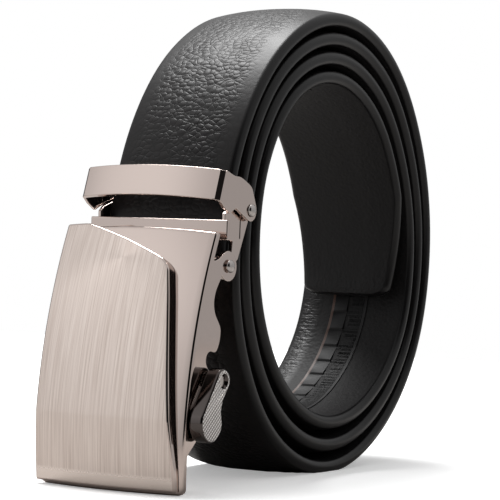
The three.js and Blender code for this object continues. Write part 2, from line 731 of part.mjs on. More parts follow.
function makePanel() {
  const length = PLATE_LENGTH - PANEL_FOOT - PANEL_HEAD;
  const left = -housingWidth / 2 - PANEL_OVERHANG;
  const columns = 10;
  const rings = PANEL_OUTLINE.map((row, j) => {
    const along = PANEL_FOOT + row.along * length;
    const right = row.across * housingWidth;
    const rise = Math.min(1, (along - PANEL_FOOT) / PANEL_RAMP);
    const height = PANEL_LOW_HEIGHT + (PANEL_HEIGHT - PANEL_LOW_HEIGHT) * rise;
    const isEnd = j === 0 || j === PANEL_OUTLINE.length - 1;
    const shift = j === 0 ? PANEL_BEVEL : -PANEL_BEVEL;
    const face = (out, inset) => {
      const line = [];
      for (let i = 0; i <= columns; i++) {
        const x = right - inset - ((right - left - 2 * inset) * i) / columns;
        const p = onPlate(along + (isEnd && inset > 0 ? shift : 0), bowed(x, housingWidth, PLATE_BOW) + out);
        line.push(new THREE.Vector3(x, p.y, p.z));
      }
      return line;
    };
    return [...face(FIT_GAP + height, PANEL_BEVEL), ...face(FIT_GAP, 0).reverse()];
  });
  return sweepRings(rings);
}

// Release lever, pawl and shaft, built round the shaft

function makeLever() {
  const pad = new THREE.Vector2(-LEVER_PAD_FORWARD, -LEVER_PAD_DROP);
  const length = pad.length();
  const arc = (at, radius, from, to) =>
    Array.from({ length: 11 }, (_, i) => {
      const turn = radians(from + ((to - from) * i) / 10);
      return new THREE.Vector2(at + radius * Math.cos(turn), radius * Math.sin(turn));
    });
  const waist = [
    new THREE.Vector2(length * 0.62, LEVER_NECK * 0.8),
    new THREE.Vector2(length * 0.4, LEVER_NECK * 0.66),
  ];
  const outline = new THREE.Shape([
    ...arc(length, LEVER_PAD_RADIUS, -90, 112),
    ...waist,
    ...arc(0, LEVER_EYE_RADIUS, 60, 270),
  ]);
  const bevel = LEVER_THICKNESS * 0.2;
  const body = new THREE.ExtrudeGeometry(outline, {
    depth: LEVER_THICKNESS - 2 * bevel,
    bevelThickness: bevel,
    bevelSize: bevel,
    bevelOffset: -bevel,
    bevelSegments: 2,
  });
  const low = wallOuterX + FIT_GAP;
  layAcross(body).rotateX(pad.angle()).translate(low + bevel, 0, 0);
  return joinAndCut([body], [rod(SHAFT_RADIUS + FIT_GAP, -housingWidth, housingWidth, 0, 0)]);
}

function makePawl() {
  const local = (along, depth) => {
    const p = onPlate(shaftAlong + along, -depth);
    return { y: p.y - shaft.y, z: p.z - shaft.z };
  };
  const front = LEVER_DEPTH - PAWL_THICKNESS / 2;
  const rear = LEVER_DEPTH + PAWL_THICKNESS / 2;
  const arm = [
    local(0, front),
    local(PAWL_LENGTH - PAWL_TOOTH, front),
    local(PAWL_LENGTH, front - PAWL_TOOTH),
    local(PAWL_LENGTH, rear),
    local(0, rear),
  ];
  const half = PAWL_WIDTH / 2;
  const pieces = [sidePlate(arm, -half, half), rod(PAWL_HUB_RADIUS, -half, half, 0, 0)];
  return joinAndCut(pieces, [rod(SHAFT_RADIUS + FIT_GAP, -housingWidth, housingWidth, 0, 0)]);
}

// Materials

const leather = new THREE.MeshStandardMaterial({ color: 0x1c1b1d, roughness: 0.45 });
const trackPlastic = new THREE.MeshStandardMaterial({ color: 0x2b2a2b, roughness: 0.5 });
const polished = new THREE.MeshStandardMaterial({ color: 0xa79c99, roughness: 0.15, metalness: 1 });
const brushed = new THREE.MeshStandardMaterial({ color: 0xcbbdb5, roughness: 0.35, metalness: 1 });
const rivetSteel = new THREE.MeshStandardMaterial({ color: 0xb9b2b0, roughness: 0.2, metalness: 1 });

// The belt

const belt = new THREE.Group();

function addPiece(group, name, geometry, material, place = { y: 0, z: 0 }) {
  const mesh = new THREE.Mesh(geometry, material);
  mesh.name = name;
  mesh.position.set(place.x ?? 0, place.y, place.z);
  group.add(mesh);
}

addPiece(belt, 'strap', makeStrap(), leather);
addPiece(belt, 'ratchet_track', makeTrack(), trackPlastic);

addPiece(belt, 'strap_clamp', makeClamp(), polished);
const pinHalf = wallOuterX + FIT_GAP;
const hingePin = rivet(HINGE_PIN_RADIUS, -pinHalf, pinHalf, RIVET_HEAD_HEIGHT, RIVET_HEAD_HEIGHT);
addPiece(belt, 'hinge_pin', hingePin, rivetSteel, hinge);
const rivetLow = clampInnerX - FIT_GAP / 2;
const rivetHigh = armOuterX + FIT_GAP;
const rightRivet = rivet(RIVET_SHANK_RADIUS, rivetLow, rivetHigh, 0, RIVET_HEAD_HEIGHT);
const leftRivet = rivet(RIVET_SHANK_RADIUS, -rivetHigh, -rivetLow, RIVET_HEAD_HEIGHT, 0);
addPiece(belt, 'keeper_rivet_right', rightRivet, rivetSteel, pivot);
addPiece(belt, 'keeper_rivet_left', leftRivet, rivetSteel, pivot);

addPiece(belt, 'keeper', makeKeeper(), polished, pivot);

const buckle = new THREE.Group();
addPiece(buckle, 'buckle_housing', makeHousing(), polished);
addPiece(buckle, 'face_panel', makePanel(), brushed);
belt.add(buckle);

const lever = new THREE.Group();
lever.position.set(0, shaft.y, shaft.z);
const shaftEnd = wallOuterX + FIT_GAP + LEVER_THICKNESS - SHAFT_RECESS;
addPiece(lever, 'release_lever', makeLever(), polished);
addPiece(lever, 'pawl', makePawl(), polished);
addPiece(lever, 'lever_shaft', rod(SHAFT_RADIUS, -wallOuterX - FIT_GAP, shaftEnd, 0, 0), rivetSteel);
buckle.add(lever);

export default belt;
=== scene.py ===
import math

import bmesh
import bpy
import numpy as np
from mathutils import Matrix, Vector


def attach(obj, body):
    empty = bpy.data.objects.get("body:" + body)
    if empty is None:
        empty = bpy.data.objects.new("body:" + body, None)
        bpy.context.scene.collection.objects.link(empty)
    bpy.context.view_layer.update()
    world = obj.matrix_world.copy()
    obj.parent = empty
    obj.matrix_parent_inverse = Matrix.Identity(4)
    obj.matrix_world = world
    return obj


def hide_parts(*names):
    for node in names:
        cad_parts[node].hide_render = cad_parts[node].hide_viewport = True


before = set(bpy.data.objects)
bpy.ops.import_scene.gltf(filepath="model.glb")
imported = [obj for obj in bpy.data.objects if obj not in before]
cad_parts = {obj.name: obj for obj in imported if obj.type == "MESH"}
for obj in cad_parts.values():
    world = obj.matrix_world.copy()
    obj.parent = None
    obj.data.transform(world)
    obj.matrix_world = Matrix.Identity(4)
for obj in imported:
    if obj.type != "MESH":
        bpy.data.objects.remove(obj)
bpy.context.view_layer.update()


# Strap: one long strip of black full-grain leather over a soft padding, lined with a thin split leather
# and painted along its cut edges. It is rolled up with the buckle's end outermost and stands on its edge
# turns, where its own weight presses the padding flat.

MM = 0.001
STRAP_WIDTH = 35
STRAP_THICKNESS = 3.4
STRAP_SWELL = 1.7
TURN_GAP = 0.4
FIRST_TURN_RADIUS = 62
LAYER_PITCH = 5.4
TURNS = 3.555
ROLL_CENTRE = 62.02
STRAP_START = -3.5
STATION_STEP = 1.5
CLAMP_ROOM = 1.0
CLAMP_ROOM_ANGLE = 24
PRESSED_FROM, PRESSED_OVER = 320, 30
TIP_INSET, TIP_SPRING_ANGLE = 1.6, 90
TIP_TAPER = 29
TIP_WIDTH = 27.4
TIP_CORNER = 2.6
TIP_THINNING, TIP_THIN_SHARE = 0.8, 0.8
EDGE_RADIUS = 1.5
CROWN_POWER = 2.2
TRACK_WIDTH = 11.3
TRACK_OFFSET = -0.75
TRACK_DEPTH = 0.5
TRACK_FROM_TIP = 75
TOOTH_HEIGHT = 0.7
TAIL_ON_TRACK = 200

# The roll's shape by the direction in degrees from the front over the top: the reach as a share of
# FIRST_TURN_RADIUS, and the pitch as a share of LAYER_PITCH
ROLL = [
    {"at": 0, "reach": 0.942, "pitch": 0.9},
    {"at": 30, "reach": 0.937, "pitch": 0.82},
    {"at": 60, "reach": 0.965, "pitch": 0.82},
    {"at": 90, "reach": 1.002, "pitch": 0.98},
    {"at": 120, "reach": 1.01, "pitch": 1.1},
    {"at": 150, "reach": 0.984, "pitch": 1.08},
    {"at": 180, "reach": 0.985, "pitch": 1.0},
    {"at": 210, "reach": 1.011, "pitch": 0.93},
    {"at": 240, "reach": 1.031, "pitch": 1.0},
    {"at": 270, "reach": 1.053, "pitch": 1.13},
    {"at": 300, "reach": 1.035, "pitch": 1.18},
    {"at": 330, "reach": 0.977, "pitch": 1.05},
]


def roll_column(column, angle):
    """A column of ROLL at any angles, on a smooth closed curve through its rows."""
    rows = np.array([row[column] for row in ROLL])
    place = np.mod(angle, 360) / 360 * len(rows)
    row = np.floor(place).astype(int)
    t = place - row
    a, b, c, d = (rows[(row + step) % len(rows)] for step in (-1, 0, 1, 2))
    slopes = (c - a) * t + (2 * a - 5 * b + 4 * c - d) * t**2 + (3 * (b - c) + d - a) * t**3
    return b + slopes / 2


def strap_radius(angle):
    """Distance in millimetres from the roll's middle to the strap's middle."""
    reach = FIRST_TURN_RADIUS * roll_column("reach", angle)
    pitch = LAYER_PITCH * roll_column("pitch", angle) * np.maximum(0, angle) / 360
    from_clamp = angle - 360 * np.maximum(1, np.round(angle / 360))
    room = CLAMP_ROOM * np.exp(-((from_clamp / CLAMP_ROOM_ANGLE) ** 2)) * (angle > 180)
    tip = np.maximum(0, 1 - (TURNS * 360 - angle) / TIP_SPRING_ANGLE)
    return reach - pitch - room - TIP_INSET * tip**2


def strap_swell(angle):
    """How far the padding stands up in the middle: free on the first turn, pressed on the turns inside it."""
    teeth = TOOTH_HEIGHT * (angle > TURNS * 360 - TAIL_ON_TRACK)
    room = LAYER_PITCH * roll_column("pitch", angle) - STRAP_THICKNESS - TURN_GAP - teeth
    behind_clamp = 1 - np.exp(-(((angle - 360) / CLAMP_ROOM_ANGLE) ** 4))
    inner = np.clip(room, 0, STRAP_SWELL) * behind_clamp
    return STRAP_SWELL + (inner - STRAP_SWELL) * np.clip((angle - PRESSED_FROM) / PRESSED_OVER, 0, 1)


def strap_stations():
    """Cross-sections of the strap: place, outward direction, padding and distance from the start."""
    angle = np.linspace(STRAP_START, TURNS * 360, int((TURNS * 360 - STRAP_START) / STATION_STEP))

    def place(at):
        radius, turn = strap_radius(at), np.radians(at)
        return np.stack([-radius * np.cos(turn), ROLL_CENTRE + radius * np.sin(turn)], -1)

    middle = place(angle)
    nearby = STATION_STEP / 5
    along = place(angle + nearby) - place(angle - nearby)
    along /= np.linalg.norm(along, axis=1)[:, None]
    out = np.stack([-along[:, 1], along[:, 0]], -1)
    steps = np.linalg.norm(np.diff(middle, axis=0), axis=1)
    return middle, out, strap_swell(angle), np.concatenate([[0], np.cumsum(steps)])


def build(name, points, faces, smooth_below=35):
    """A mesh object from points in millimetres, smooth except where it turns by more than some degrees."""
    mesh = bpy.data.meshes.new(name)
    mesh.from_pydata([tuple(p) for p in np.asarray(points, float) * MM], [], faces)
    mesh.validate()
    outward_faces = bmesh.new()
    outward_faces.from_mesh(mesh)
    bmesh.ops.recalc_face_normals(outward_faces, faces=outward_faces.faces)
    outward_faces.to_mesh(mesh)
    outward_faces.free()
    mesh.shade_smooth()
    mesh.set_sharp_from_angle(angle=math.radians(smooth_below))
    piece = bpy.data.objects.new(name, mesh)
    bpy.context.scene.collection.objects.link(piece)
    return piece


def sweep(rings):
    """Faces of a closed solid swept through rings of points that all have the same length."""
    count = len(rings[0])
    faces = []
    for i in range(len(rings) - 1):
        for j in range(count):
            a, b = i * count + j, i * count + (j + 1) % count
            faces.append((a, a + count, b + count, b))
    last = (len(rings) - 1) * count
    faces.append(tuple(range(count)))
    faces.append(tuple(last + j for j in reversed(range(count))))
    return np.concatenate([np.asarray(ring, float) for ring in rings]), faces


# The strap's outline across: the crowned face, a rounded corner, the edge, a second corner and the lining
FACE_STEPS, CORNER_STEPS, LINING_STEPS = 22, 5, 20


def strap_section(half, swell, taper):
    """Points across and out for one cross-section, going round from the left corner of the face."""
    across, out = [], []
    flat = half - EDGE_RADIUS
    for i in range(FACE_STEPS + 1):
        x = flat * (2 * i / FACE_STEPS - 1)
        across.append(x)
        out.append(STRAP_THICKNESS / 2 + swell * (1 - abs(x / half) ** CROWN_POWER))
    crown_end = out[-1] - STRAP_THICKNESS / 2
    edge_turns = [math.pi * i / (2 * CORNER_STEPS) for i in range(1, 2 * CORNER_STEPS)]
    edge_reach = [flat + EDGE_RADIUS * math.sin(turn) for turn in edge_turns]
    edge_out = []
    for turn in edge_turns:
        edge_out.append((STRAP_THICKNESS / 2) * math.cos(turn) + crown_end * max(0, math.cos(turn)) ** 2)
    across += edge_reach
    out += edge_out
    across += [flat * (1 - 2 * i / LINING_STEPS) for i in range(LINING_STEPS + 1)]
    out += [-STRAP_THICKNESS / 2] * (LINING_STEPS + 1)
    across += [-reach for reach in reversed(edge_reach)]
    out += reversed(edge_out)
    return np.array(across), np.array(out) * taper


middle, outward, swell, distance = strap_stations()
strap_length = distance[-1]
rings = []
for place, normal, padding, along in zip(middle, outward, swell, distance):
    left = strap_length - along
    narrow = max(0, 1 - left / TIP_TAPER) * (STRAP_WIDTH - TIP_WIDTH) / 2
    corner = max(0, 1 - left / TIP_CORNER)
    half = STRAP_WIDTH / 2 - narrow - TIP_CORNER * (1 - math.sqrt(1 - corner**2))
    taper = min(1, TIP_THIN_SHARE + (1 - TIP_THIN_SHARE) * left / TIP_THINNING)
    across, out = strap_section(half, padding, taper)
    y, z = place[0] + normal[0] * out, place[1] + normal[1] * out
    rings.append(np.stack([across, y, np.maximum(0, z)], -1))
strap = build("belt_strap", *sweep(rings), smooth_below=60)

# Distances along and round the strap, in metres, so that grain and wrinkles can follow the leather
section_size = len(rings[0])
plain_section = rings[40]
round_strap = np.concatenate([[0], np.cumsum(np.linalg.norm(np.diff(plain_section, axis=0), axis=1))])
flow = strap.data.uv_layers.new(name="leather_flow")
for face in strap.data.polygons:
    low = min(vertex % section_size for vertex in face.vertices)
    for loop in face.loop_indices:
        vertex = strap.data.loops[loop].vertex_index
        column = vertex % section_size
        if low == 0 and column == section_size - 1 and len(face.vertices) == 4:
            column = -1
        position = round_strap[column] if column >= 0 else -(round_strap[1] - round_strap[0])
        flow.data[loop].uv = (distance[vertex // section_size] * MM, position * MM)


def to_linear(colour):
    """An sRGB hex colour as the linear colour that shaders take."""
    parts = [int(colour[i : i + 2], 16) / 255 for i in (1, 3, 5)]
    return [p / 12.92 if p <= 0.04045 else ((p + 0.055) / 1.055) ** 2.4 for p in parts] + [1]


def add(material, kind, settings=None, links=None):
    """Adds a node to a material, with its settings, its fixed inputs and what its inputs come from."""
    node = material.node_tree.nodes.new(kind)
    for name, value in (settings or {}).items():
        if isinstance(name, int) or name in node.inputs:
            node.inputs[name].default_value = value
        else:
            setattr(node, name, value)
    for name, source in (links or {}).items():
        material.node_tree.links.new(source, node.inputs[name])
    return node


def new_material(name, **shader):
    """A material with one Principled shader whose sockets have the given values."""
    material = bpy.data.materials.new(name)
    material.use_nodes = True
    surface = material.node_tree.nodes["Principled BSDF"]
    for socket, value in shader.items():
        surface.inputs[socket.replace("_", " ")].default_value = value
    return material, surface


def feed(surface, socket, source):
    """Links a node's output to a socket of a material's shader."""
    surface.id_data.links.new(source, surface.inputs[socket])


# Full-grain leather, dyed black and pressed with a pebble grain: soft cushions about 2 mm across with sharp
# creases between them, drawn out across the strap where it bends, under a thin satin top coat.
MIX_A, MIX_B, MIX_RESULT = 6, 7, 2
GRAIN_WIDTH, GRAIN_DEPTH, GRAIN_STRETCH = 1.8, 0.12, 1.25
DRIFT_WIDTH, DRIFT = 4.5, 1.6
PATCH_WIDTH = 14
MARGIN_START, MARGIN_END, MARGIN_GRAIN = 10.5, 14.5, 0.12
leather, surface = new_material("full_grain_leather_pebbled", Specular_IOR_Level=0.28, IOR=1.5)
where = add(leather, "ShaderNodeUVMap", {"uv_map": "leather_flow"})
drawn = add(
    leather, "ShaderNodeMapping", {"Scale": (GRAIN_STRETCH, 1.0, 1.0)}, {"Vector": where.outputs["UV"]}
)
drift = add(
    leather,
    "ShaderNodeTexNoise",
    {"Scale": 1 / (DRIFT_WIDTH * MM), "Detail": 2.0},
    {"Vector": drawn.outputs["Vector"]},
)
warped = add(
    leather,
    "ShaderNodeVectorMath",
    {"operation": "MULTIPLY_ADD", 1: (DRIFT * MM, DRIFT * MM, 0)},
    {0: drift.outputs["Color"], 2: drawn.outputs["Vector"]},
)
pebbles = add(
    leather,
    "ShaderNodeTexVoronoi",
    {"feature": "SMOOTH_F1", "Scale": 1 / (GRAIN_WIDTH * MM), "Smoothness": 0.35, "Randomness": 0.9},
    {"Vector": warped.outputs["Vector"]},
)
creases = add(
    leather,
    "ShaderNodeTexVoronoi",
    {"feature": "DISTANCE_TO_EDGE", "Scale": 1 / (GRAIN_WIDTH * MM), "Randomness": 0.9},
    {"Vector": warped.outputs["Vector"]},
)
cushions = add(
    leather,
    "ShaderNodeMapRange",
    {"interpolation_type": "SMOOTHSTEP", "From Min": 0.75, "From Max": 0.15},
    {"Value": pebbles.outputs["Distance"]},
)
crease_walls = add(
    leather,
    "ShaderNodeMapRange",
    {"interpolation_type": "SMOOTHSTEP", "From Max": 0.12},
    {"Value": creases.outputs["Distance"]},
)
grain = add(
    leather,
    "ShaderNodeMath",
    {"operation": "MULTIPLY_ADD", 1: 0.5},
    {0: crease_walls.outputs["Result"], 2: cushions.outputs["Result"]},
)
# The press leaves a smoother margin beside each edge
from_corner = add(leather, "ShaderNodeSeparateXYZ", {}, {"Vector": where.outputs["UV"]})
from_middle = add(
    leather,
    "ShaderNodeMath",
    {"operation": "SUBTRACT", 1: (STRAP_WIDTH / 2 - EDGE_RADIUS) * MM},
    {0: from_corner.outputs["Y"]},
)
to_side = add(leather, "ShaderNodeMath", {"operation": "ABSOLUTE"}, {0: from_middle.outputs["Value"]})
pressed = add(
    leather,
    "ShaderNodeMapRange",
    {
        "interpolation_type": "SMOOTHSTEP",
        "From Min": MARGIN_START * MM,
        "From Max": MARGIN_END * MM,
        "To Min": 1.0,
        "To Max": MARGIN_GRAIN,
    },
    {"Value": to_side.outputs["Value"]},
)
wear = add(
    leather,
    "ShaderNodeTexNoise",
    {"Scale": 1 / (PATCH_WIDTH * MM), "Detail": 3.0},
    {"Vector": where.outputs["UV"]},
)
# The creases are coloured darker than the cushions: painted shade in the creases of the grain.
tone = add(
    leather,
    "ShaderNodeMix",
    {"data_type": "RGBA", MIX_A: to_linear("#0a0808"), MIX_B: to_linear("#141112")},
    {"Factor": crease_walls.outputs["Result"]},
)
feed(surface, "Base Color", tone.outputs[MIX_RESULT])
gloss = add(
    leather,
    "ShaderNodeMapRange",
    {"From Min": 0.3, "From Max": 0.7, "To Min": 0.37, "To Max": 0.45},
    {"Value": wear.outputs["Fac"]},
)
feed(surface, "Roughness", gloss.outputs["Result"])
# The grain is deep in some patches of the hide and shallow in others
patches = add(
    leather,
    "ShaderNodeMapRange",
    {"From Min": 0.35, "From Max": 0.65, "To Min": 0.4, "To Max": 1.0},
    {"Value": wear.outputs["Fac"]},
)
grain_depth = add(
    leather,
    "ShaderNodeMath",
    {"operation": "MULTIPLY"},
    {0: pressed.outputs["Result"], 1: patches.outputs["Result"]},
)
relief = add(
    leather,
    "ShaderNodeBump",
    {"Distance": GRAIN_DEPTH * MM},
    {"Height": grain.outputs["Value"], "Strength": grain_depth.outputs["Value"]},
)
feed(surface, "Normal", relief.outputs["Normal"])

# Edge paint: several coats of black polyurethane, rubbed smooth, which leave a soft satin roll of colour
# along both cut edges.
RIPPLE_WIDTH, RIPPLE_DEPTH = 3, 0.1
edge_paint, surface = new_material(
    "polyurethane_edge_paint", Base_Color=to_linear("#141314"), Roughness=0.32, Specular_IOR_Level=0.3
)
where = add(edge_paint, "ShaderNodeUVMap", {"uv_map": "leather_flow"})
ripple = add(
    edge_paint,
    "ShaderNodeTexNoise",
    {"Scale": 1 / (RIPPLE_WIDTH * MM), "Detail": 2.0},
    {"Vector": where.outputs["UV"]},
)
relief = add(
    edge_paint,
    "ShaderNodeBump",
    {"Strength": 0.15, "Distance": RIPPLE_DEPTH * MM},
    {"Height": ripple.outputs["Fac"]},
)
feed(surface, "Normal", relief.outputs["Normal"])

# Split-leather lining: a thin dark skin with a fine pressed grain. A glossy band along its left side gathers
# into cross wrinkles inside the bend, as far as the track goes, and a rougher band runs along its right side.
WRINKLED_BAND, ROUGH_BAND = (-16, -11.2), (6.3, 12.9)
BAND_FADE, WORN_FADE = 1.5, 5
WRINKLE_PITCH, WRINKLE_STRETCH, WRINKLE_HEIGHT = 1.2, 0.22, 3.5
PORE_WIDTH, PORE_DEPTH = 0.9, 0.6
CRUMB_WIDTH = 1.3
LINING_RELIEF = 0.25
lining, surface = new_material(
    "split_leather_lining", Base_Color=to_linear("#110f10"), Specular_IOR_Level=0.35
)
where = add(lining, "ShaderNodeUVMap", {"uv_map": "leather_flow"})
from_corner = add(lining, "ShaderNodeSeparateXYZ", {}, {"Vector": where.outputs["UV"]})
lining_middle = round_strap[FACE_STEPS + 2 * CORNER_STEPS] + STRAP_WIDTH / 2 - EDGE_RADIUS


def band(low, high):
    """1 between two places across the lining, in millimetres from its middle, and 0 outside them."""
    ramps = []
    for edge, way in ((low, 1), (high, -1)):
        place, fade = lining_middle - edge, way * BAND_FADE
        ends = {"From Min": (place + fade) * MM, "From Max": (place - fade) * MM}
        ramps.append(add(lining, "ShaderNodeMapRange", ends, {"Value": from_corner.outputs["Y"]}))
    return add(
        lining,
        "ShaderNodeMath",
        {"operation": "MULTIPLY"},
        {0: ramps[0].outputs["Result"], 1: ramps[1].outputs["Result"]},
    ).outputs["Value"]


track_end = strap_length - TRACK_FROM_TIP
beside_track = add(
    lining,
    "ShaderNodeMapRange",
    {"From Min": (track_end + WORN_FADE) * MM, "From Max": (track_end - WORN_FADE) * MM},
    {"Value": from_corner.outputs["X"]},
)
wrinkled = add(
    lining,
    "ShaderNodeMath",
    {"operation": "MULTIPLY"},
    {0: band(*WRINKLED_BAND), 1: beside_track.outputs["Result"]},
).outputs["Value"]
rough = band(*ROUGH_BAND)
gathered = add(
    lining, "ShaderNodeMapping", {"Scale": (1.0, WRINKLE_STRETCH, 1.0)}, {"Vector": where.outputs["UV"]}
)
wrinkles = add(
    lining,
    "ShaderNodeTexNoise",
    {"Scale": 1 / (WRINKLE_PITCH * MM), "Detail": 3.0, "Distortion": 1.2},
    {"Vector": gathered.outputs["Vector"]},
)
pores = add(
    lining,
    "ShaderNodeTexVoronoi",
    {"feature": "SMOOTH_F1", "Scale": 1 / (PORE_WIDTH * MM)},
    {"Vector": where.outputs["UV"]},
)
folds = add(lining, "ShaderNodeMath", {"operation": "MULTIPLY"}, {0: wrinkles.outputs["Fac"], 1: wrinkled})
crumbs = add(
    lining,
    "ShaderNodeTexNoise",
    {"Scale": 1 / (CRUMB_WIDTH * MM), "Detail": 4.0, "Roughness": 0.7},
    {"Vector": where.outputs["UV"]},
)
crumbled = add(lining, "ShaderNodeMath", {"operation": "MULTIPLY"}, {0: crumbs.outputs["Fac"], 1: rough})
gathered_skin = add(
    lining,
    "ShaderNodeMath",
    {"operation": "MULTIPLY_ADD", 1: WRINKLE_HEIGHT},
    {0: folds.outputs["Value"], 2: crumbled.outputs["Value"]},
)
skin = add(
    lining,
    "ShaderNodeMath",
    {"operation": "MULTIPLY_ADD", 1: -PORE_DEPTH},
    {0: pores.outputs["Distance"], 2: gathered_skin.outputs["Value"]},
)
relief = add(
    lining,
    "ShaderNodeBump",
    {"Strength": 0.7, "Distance": LINING_RELIEF * MM},
    {"Height": skin.outputs["Value"]},
)
feed(surface, "Normal", relief.outputs["Normal"])
dullness = add(lining, "ShaderNodeMapRange", {"To Min": 0.62, "To Max": 0.36}, {"Value": wrinkled})
feed(surface, "Roughness", dullness.outputs["Result"])

# The two cut ends are painted too
for material in (leather, edge_paint, lining):
    strap.data.materials.append(material)
LEATHER, PAINT, LINING = 0, 1, 2
lining_first = FACE_STEPS + 2 * CORNER_STEPS
for face in strap.data.polygons:
    columns = [vertex % section_size for vertex in face.vertices]
    column = min(columns)
    if len(columns) > 4 or max(columns) - column > 1:
        face.material_index = PAINT
    elif column <= FACE_STEPS:
        face.material_index = LEATHER
    else:
        on_lining = lining_first <= column < lining_first + LINING_STEPS
        face.material_index = LINING if on_lining else PAINT
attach(strap, "strap_body")
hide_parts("strap")


# Ratchet track: a dark nylon strip, moulded with a row of teeth and set into the lining, on which the
# buckle's pawl catches. It lies along one half of the strap and ends some way short of the tip.

TRACK_LENGTH, TRACK_STEP = 330, 0.25
TOOTH_PITCH, TOOTH_DROP, TOOTH_RELIEF = 6, 0.5, 0.45
LIP_WIDTH, LIP_HEIGHT = 0.8, 0.25
LEFT_LIP_SLOPE, RIGHT_LIP_SLOPE = 0.4, 0.2
SLOT_LEFT, SLOT_WIDTH, SLOT_DRAFT = -1.3, 1.2, 0.05
SLOT_START, SLOT_LENGTH, SLOT_DEPTH = 1.4, 3.2, 0.45


def strap_place(along):
    """The strap's middle and outward direction at any distances from its start."""
    columns = [middle[:, 0], middle[:, 1], outward[:, 0], outward[:, 1]]
    return np.stack([np.interp(along, distance, column) for column in columns], -1)


rings = []
track_start = strap_length - TRACK_FROM_TIP - TRACK_LENGTH
track_left = TRACK_OFFSET - TRACK_WIDTH / 2
track_right = TRACK_OFFSET + TRACK_WIDTH / 2
slot_right = SLOT_LEFT + SLOT_WIDTH
lining_face = -STRAP_THICKNESS / 2
base, lip = lining_face + TRACK_DEPTH, lining_face - LIP_HEIGHT
for along in np.arange(0, TRACK_LENGTH + TRACK_STEP / 25, TRACK_STEP):
    y, z, out_y, out_z = strap_place(track_start + along)
    on_tooth = along % TOOTH_PITCH
    rise = on_tooth / (TOOTH_PITCH - TOOTH_DROP)
    tooth = lining_face - TOOTH_RELIEF * (rise if rise <= 1 else (TOOTH_PITCH - on_tooth) / TOOTH_DROP)
    in_slot = SLOT_START < on_tooth < SLOT_START + SLOT_LENGTH
    slot_floor = lining_face + (SLOT_DEPTH if in_slot else 0)
    outline = [
        (track_left, base),
        (track_right, base),
        (track_right, lip),
        (track_right - LIP_WIDTH, lip),
        (track_right - LIP_WIDTH - RIGHT_LIP_SLOPE, lining_face),
        (slot_right + SLOT_DRAFT, lining_face),
        (slot_right, slot_floor),
        (SLOT_LEFT, slot_floor),
        (SLOT_LEFT - SLOT_DRAFT, tooth),
        (track_left + LIP_WIDTH + LEFT_LIP_SLOPE, tooth),
        (track_left + LIP_WIDTH, lip),
        (track_left, lip),
    ]
    rings.append([(x, y + out_y * out, z + out_z * out) for x, out in outline])
track = build("nylon_ratchet_track", *sweep(rings), smooth_below=30)

# Nylon, injection moulded in dark grey: slightly dull, with a faint flow texture from the mould.
FLOW_MARK = 0.8
nylon, surface = new_material(
    "nylon_moulded", Base_Color=to_linear("#111012"), Roughness=0.5, IOR=1.53, Specular_IOR_Level=0.3
)
where = add(nylon, "ShaderNodeTexCoord")
flow_marks = add(
    nylon,
    "ShaderNodeTexNoise",
    {"Scale": 1 / (FLOW_MARK * MM), "Detail": 3.0},
    {"Vector": where.outputs["Object"]},
)
relief = add(
    nylon, "ShaderNodeBump", {"Strength": 0.2, "Distance": 0.05 * MM}, {"Height": flow_marks.outputs["Fac"]}
)
feed(surface, "Normal", relief.outputs["Normal"])
track.data.materials.append(nylon)

# The lip along the track's left side is moulded in brown, and shows as a thin warm line beside the teeth.
brown_nylon, surface = new_material(
    "nylon_moulded_brown", Base_Color=to_linear("#4a2f22"), Roughness=0.5, IOR=1.53
)
track.data.materials.append(brown_nylon)
outline_size = len(rings[0])
for face in track.data.polygons:
    columns = {vertex % outline_size for vertex in face.vertices}
    face.material_index = 1 if columns <= {0, outline_size - 2, outline_size - 1} else 0
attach(track, "strap_body")
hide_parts("ratchet_track")


# Strap clamp: a cast sleeve of nickel-plated zinc that is pressed closed round the strap's cut end. Its
# front strip stands across the face, its side walls carry the keeper, and its knuckle turns on the hinge pin.

HINGE = (-62.66, 55.5)
STRIP_TOP, STRIP_BOTTOM = 66.9, 61.9
STRIP_FRONT, STRIP_BACK = -63.65, -62.35
STRIP_WIDTH, STRIP_BOW, STRIP_BACK_SHARE = 40.6, 1.4, 0.3
KNUCKLE_RADIUS, KNUCKLE_BORE = 2.7, 1.4
CLAMP_INNER, CLAMP_OUTER = 18.0, 18.9
TONGUE_HALF, TONGUE_RISE = 14, 2.5
PIVOT, EAR_RADIUS = (-52.35, 69.6), 2.8


def side_plate(name, outline, low, high, bevel=0.2):
    """A flat plate with an outline of (y, z) points, from x = low to x = high, with rounded edges."""
    count = len(outline)
    points = [(x, y, z) for x in (low, high) for y, z in outline]
    faces = [tuple(range(count)), tuple(reversed(range(count, 2 * count)))]
    faces += [(j, j + count, (j + 1) % count + count, (j + 1) % count) for j in range(count)]
    plate = build(name, points, faces, smooth_below=50)
    round_edges(plate, bevel)
    return plate


def two_plates(name, outline, inner, outer, bevel=0.2):
    """The same flat plate at the left and at the right, from inner to outer beside the middle."""
    return [
        side_plate(name + "_left", outline, -outer, -inner, bevel),
        side_plate(name + "_right", outline, inner, outer, bevel),
    ]


def round_edges(piece, width, segments=3):
    """Breaks the sharp edges of a piece by a radius in millimetres, as polishing does."""
    rounding = piece.modifiers.new("broken_edges", "BEVEL")
    rounding.width = width * MM
    rounding.segments = segments
    rounding.limit_method = "ANGLE"
    rounding.angle_limit = math.radians(40)
    rounding.harden_normals = True
    rounding.use_clamp_overlap = True


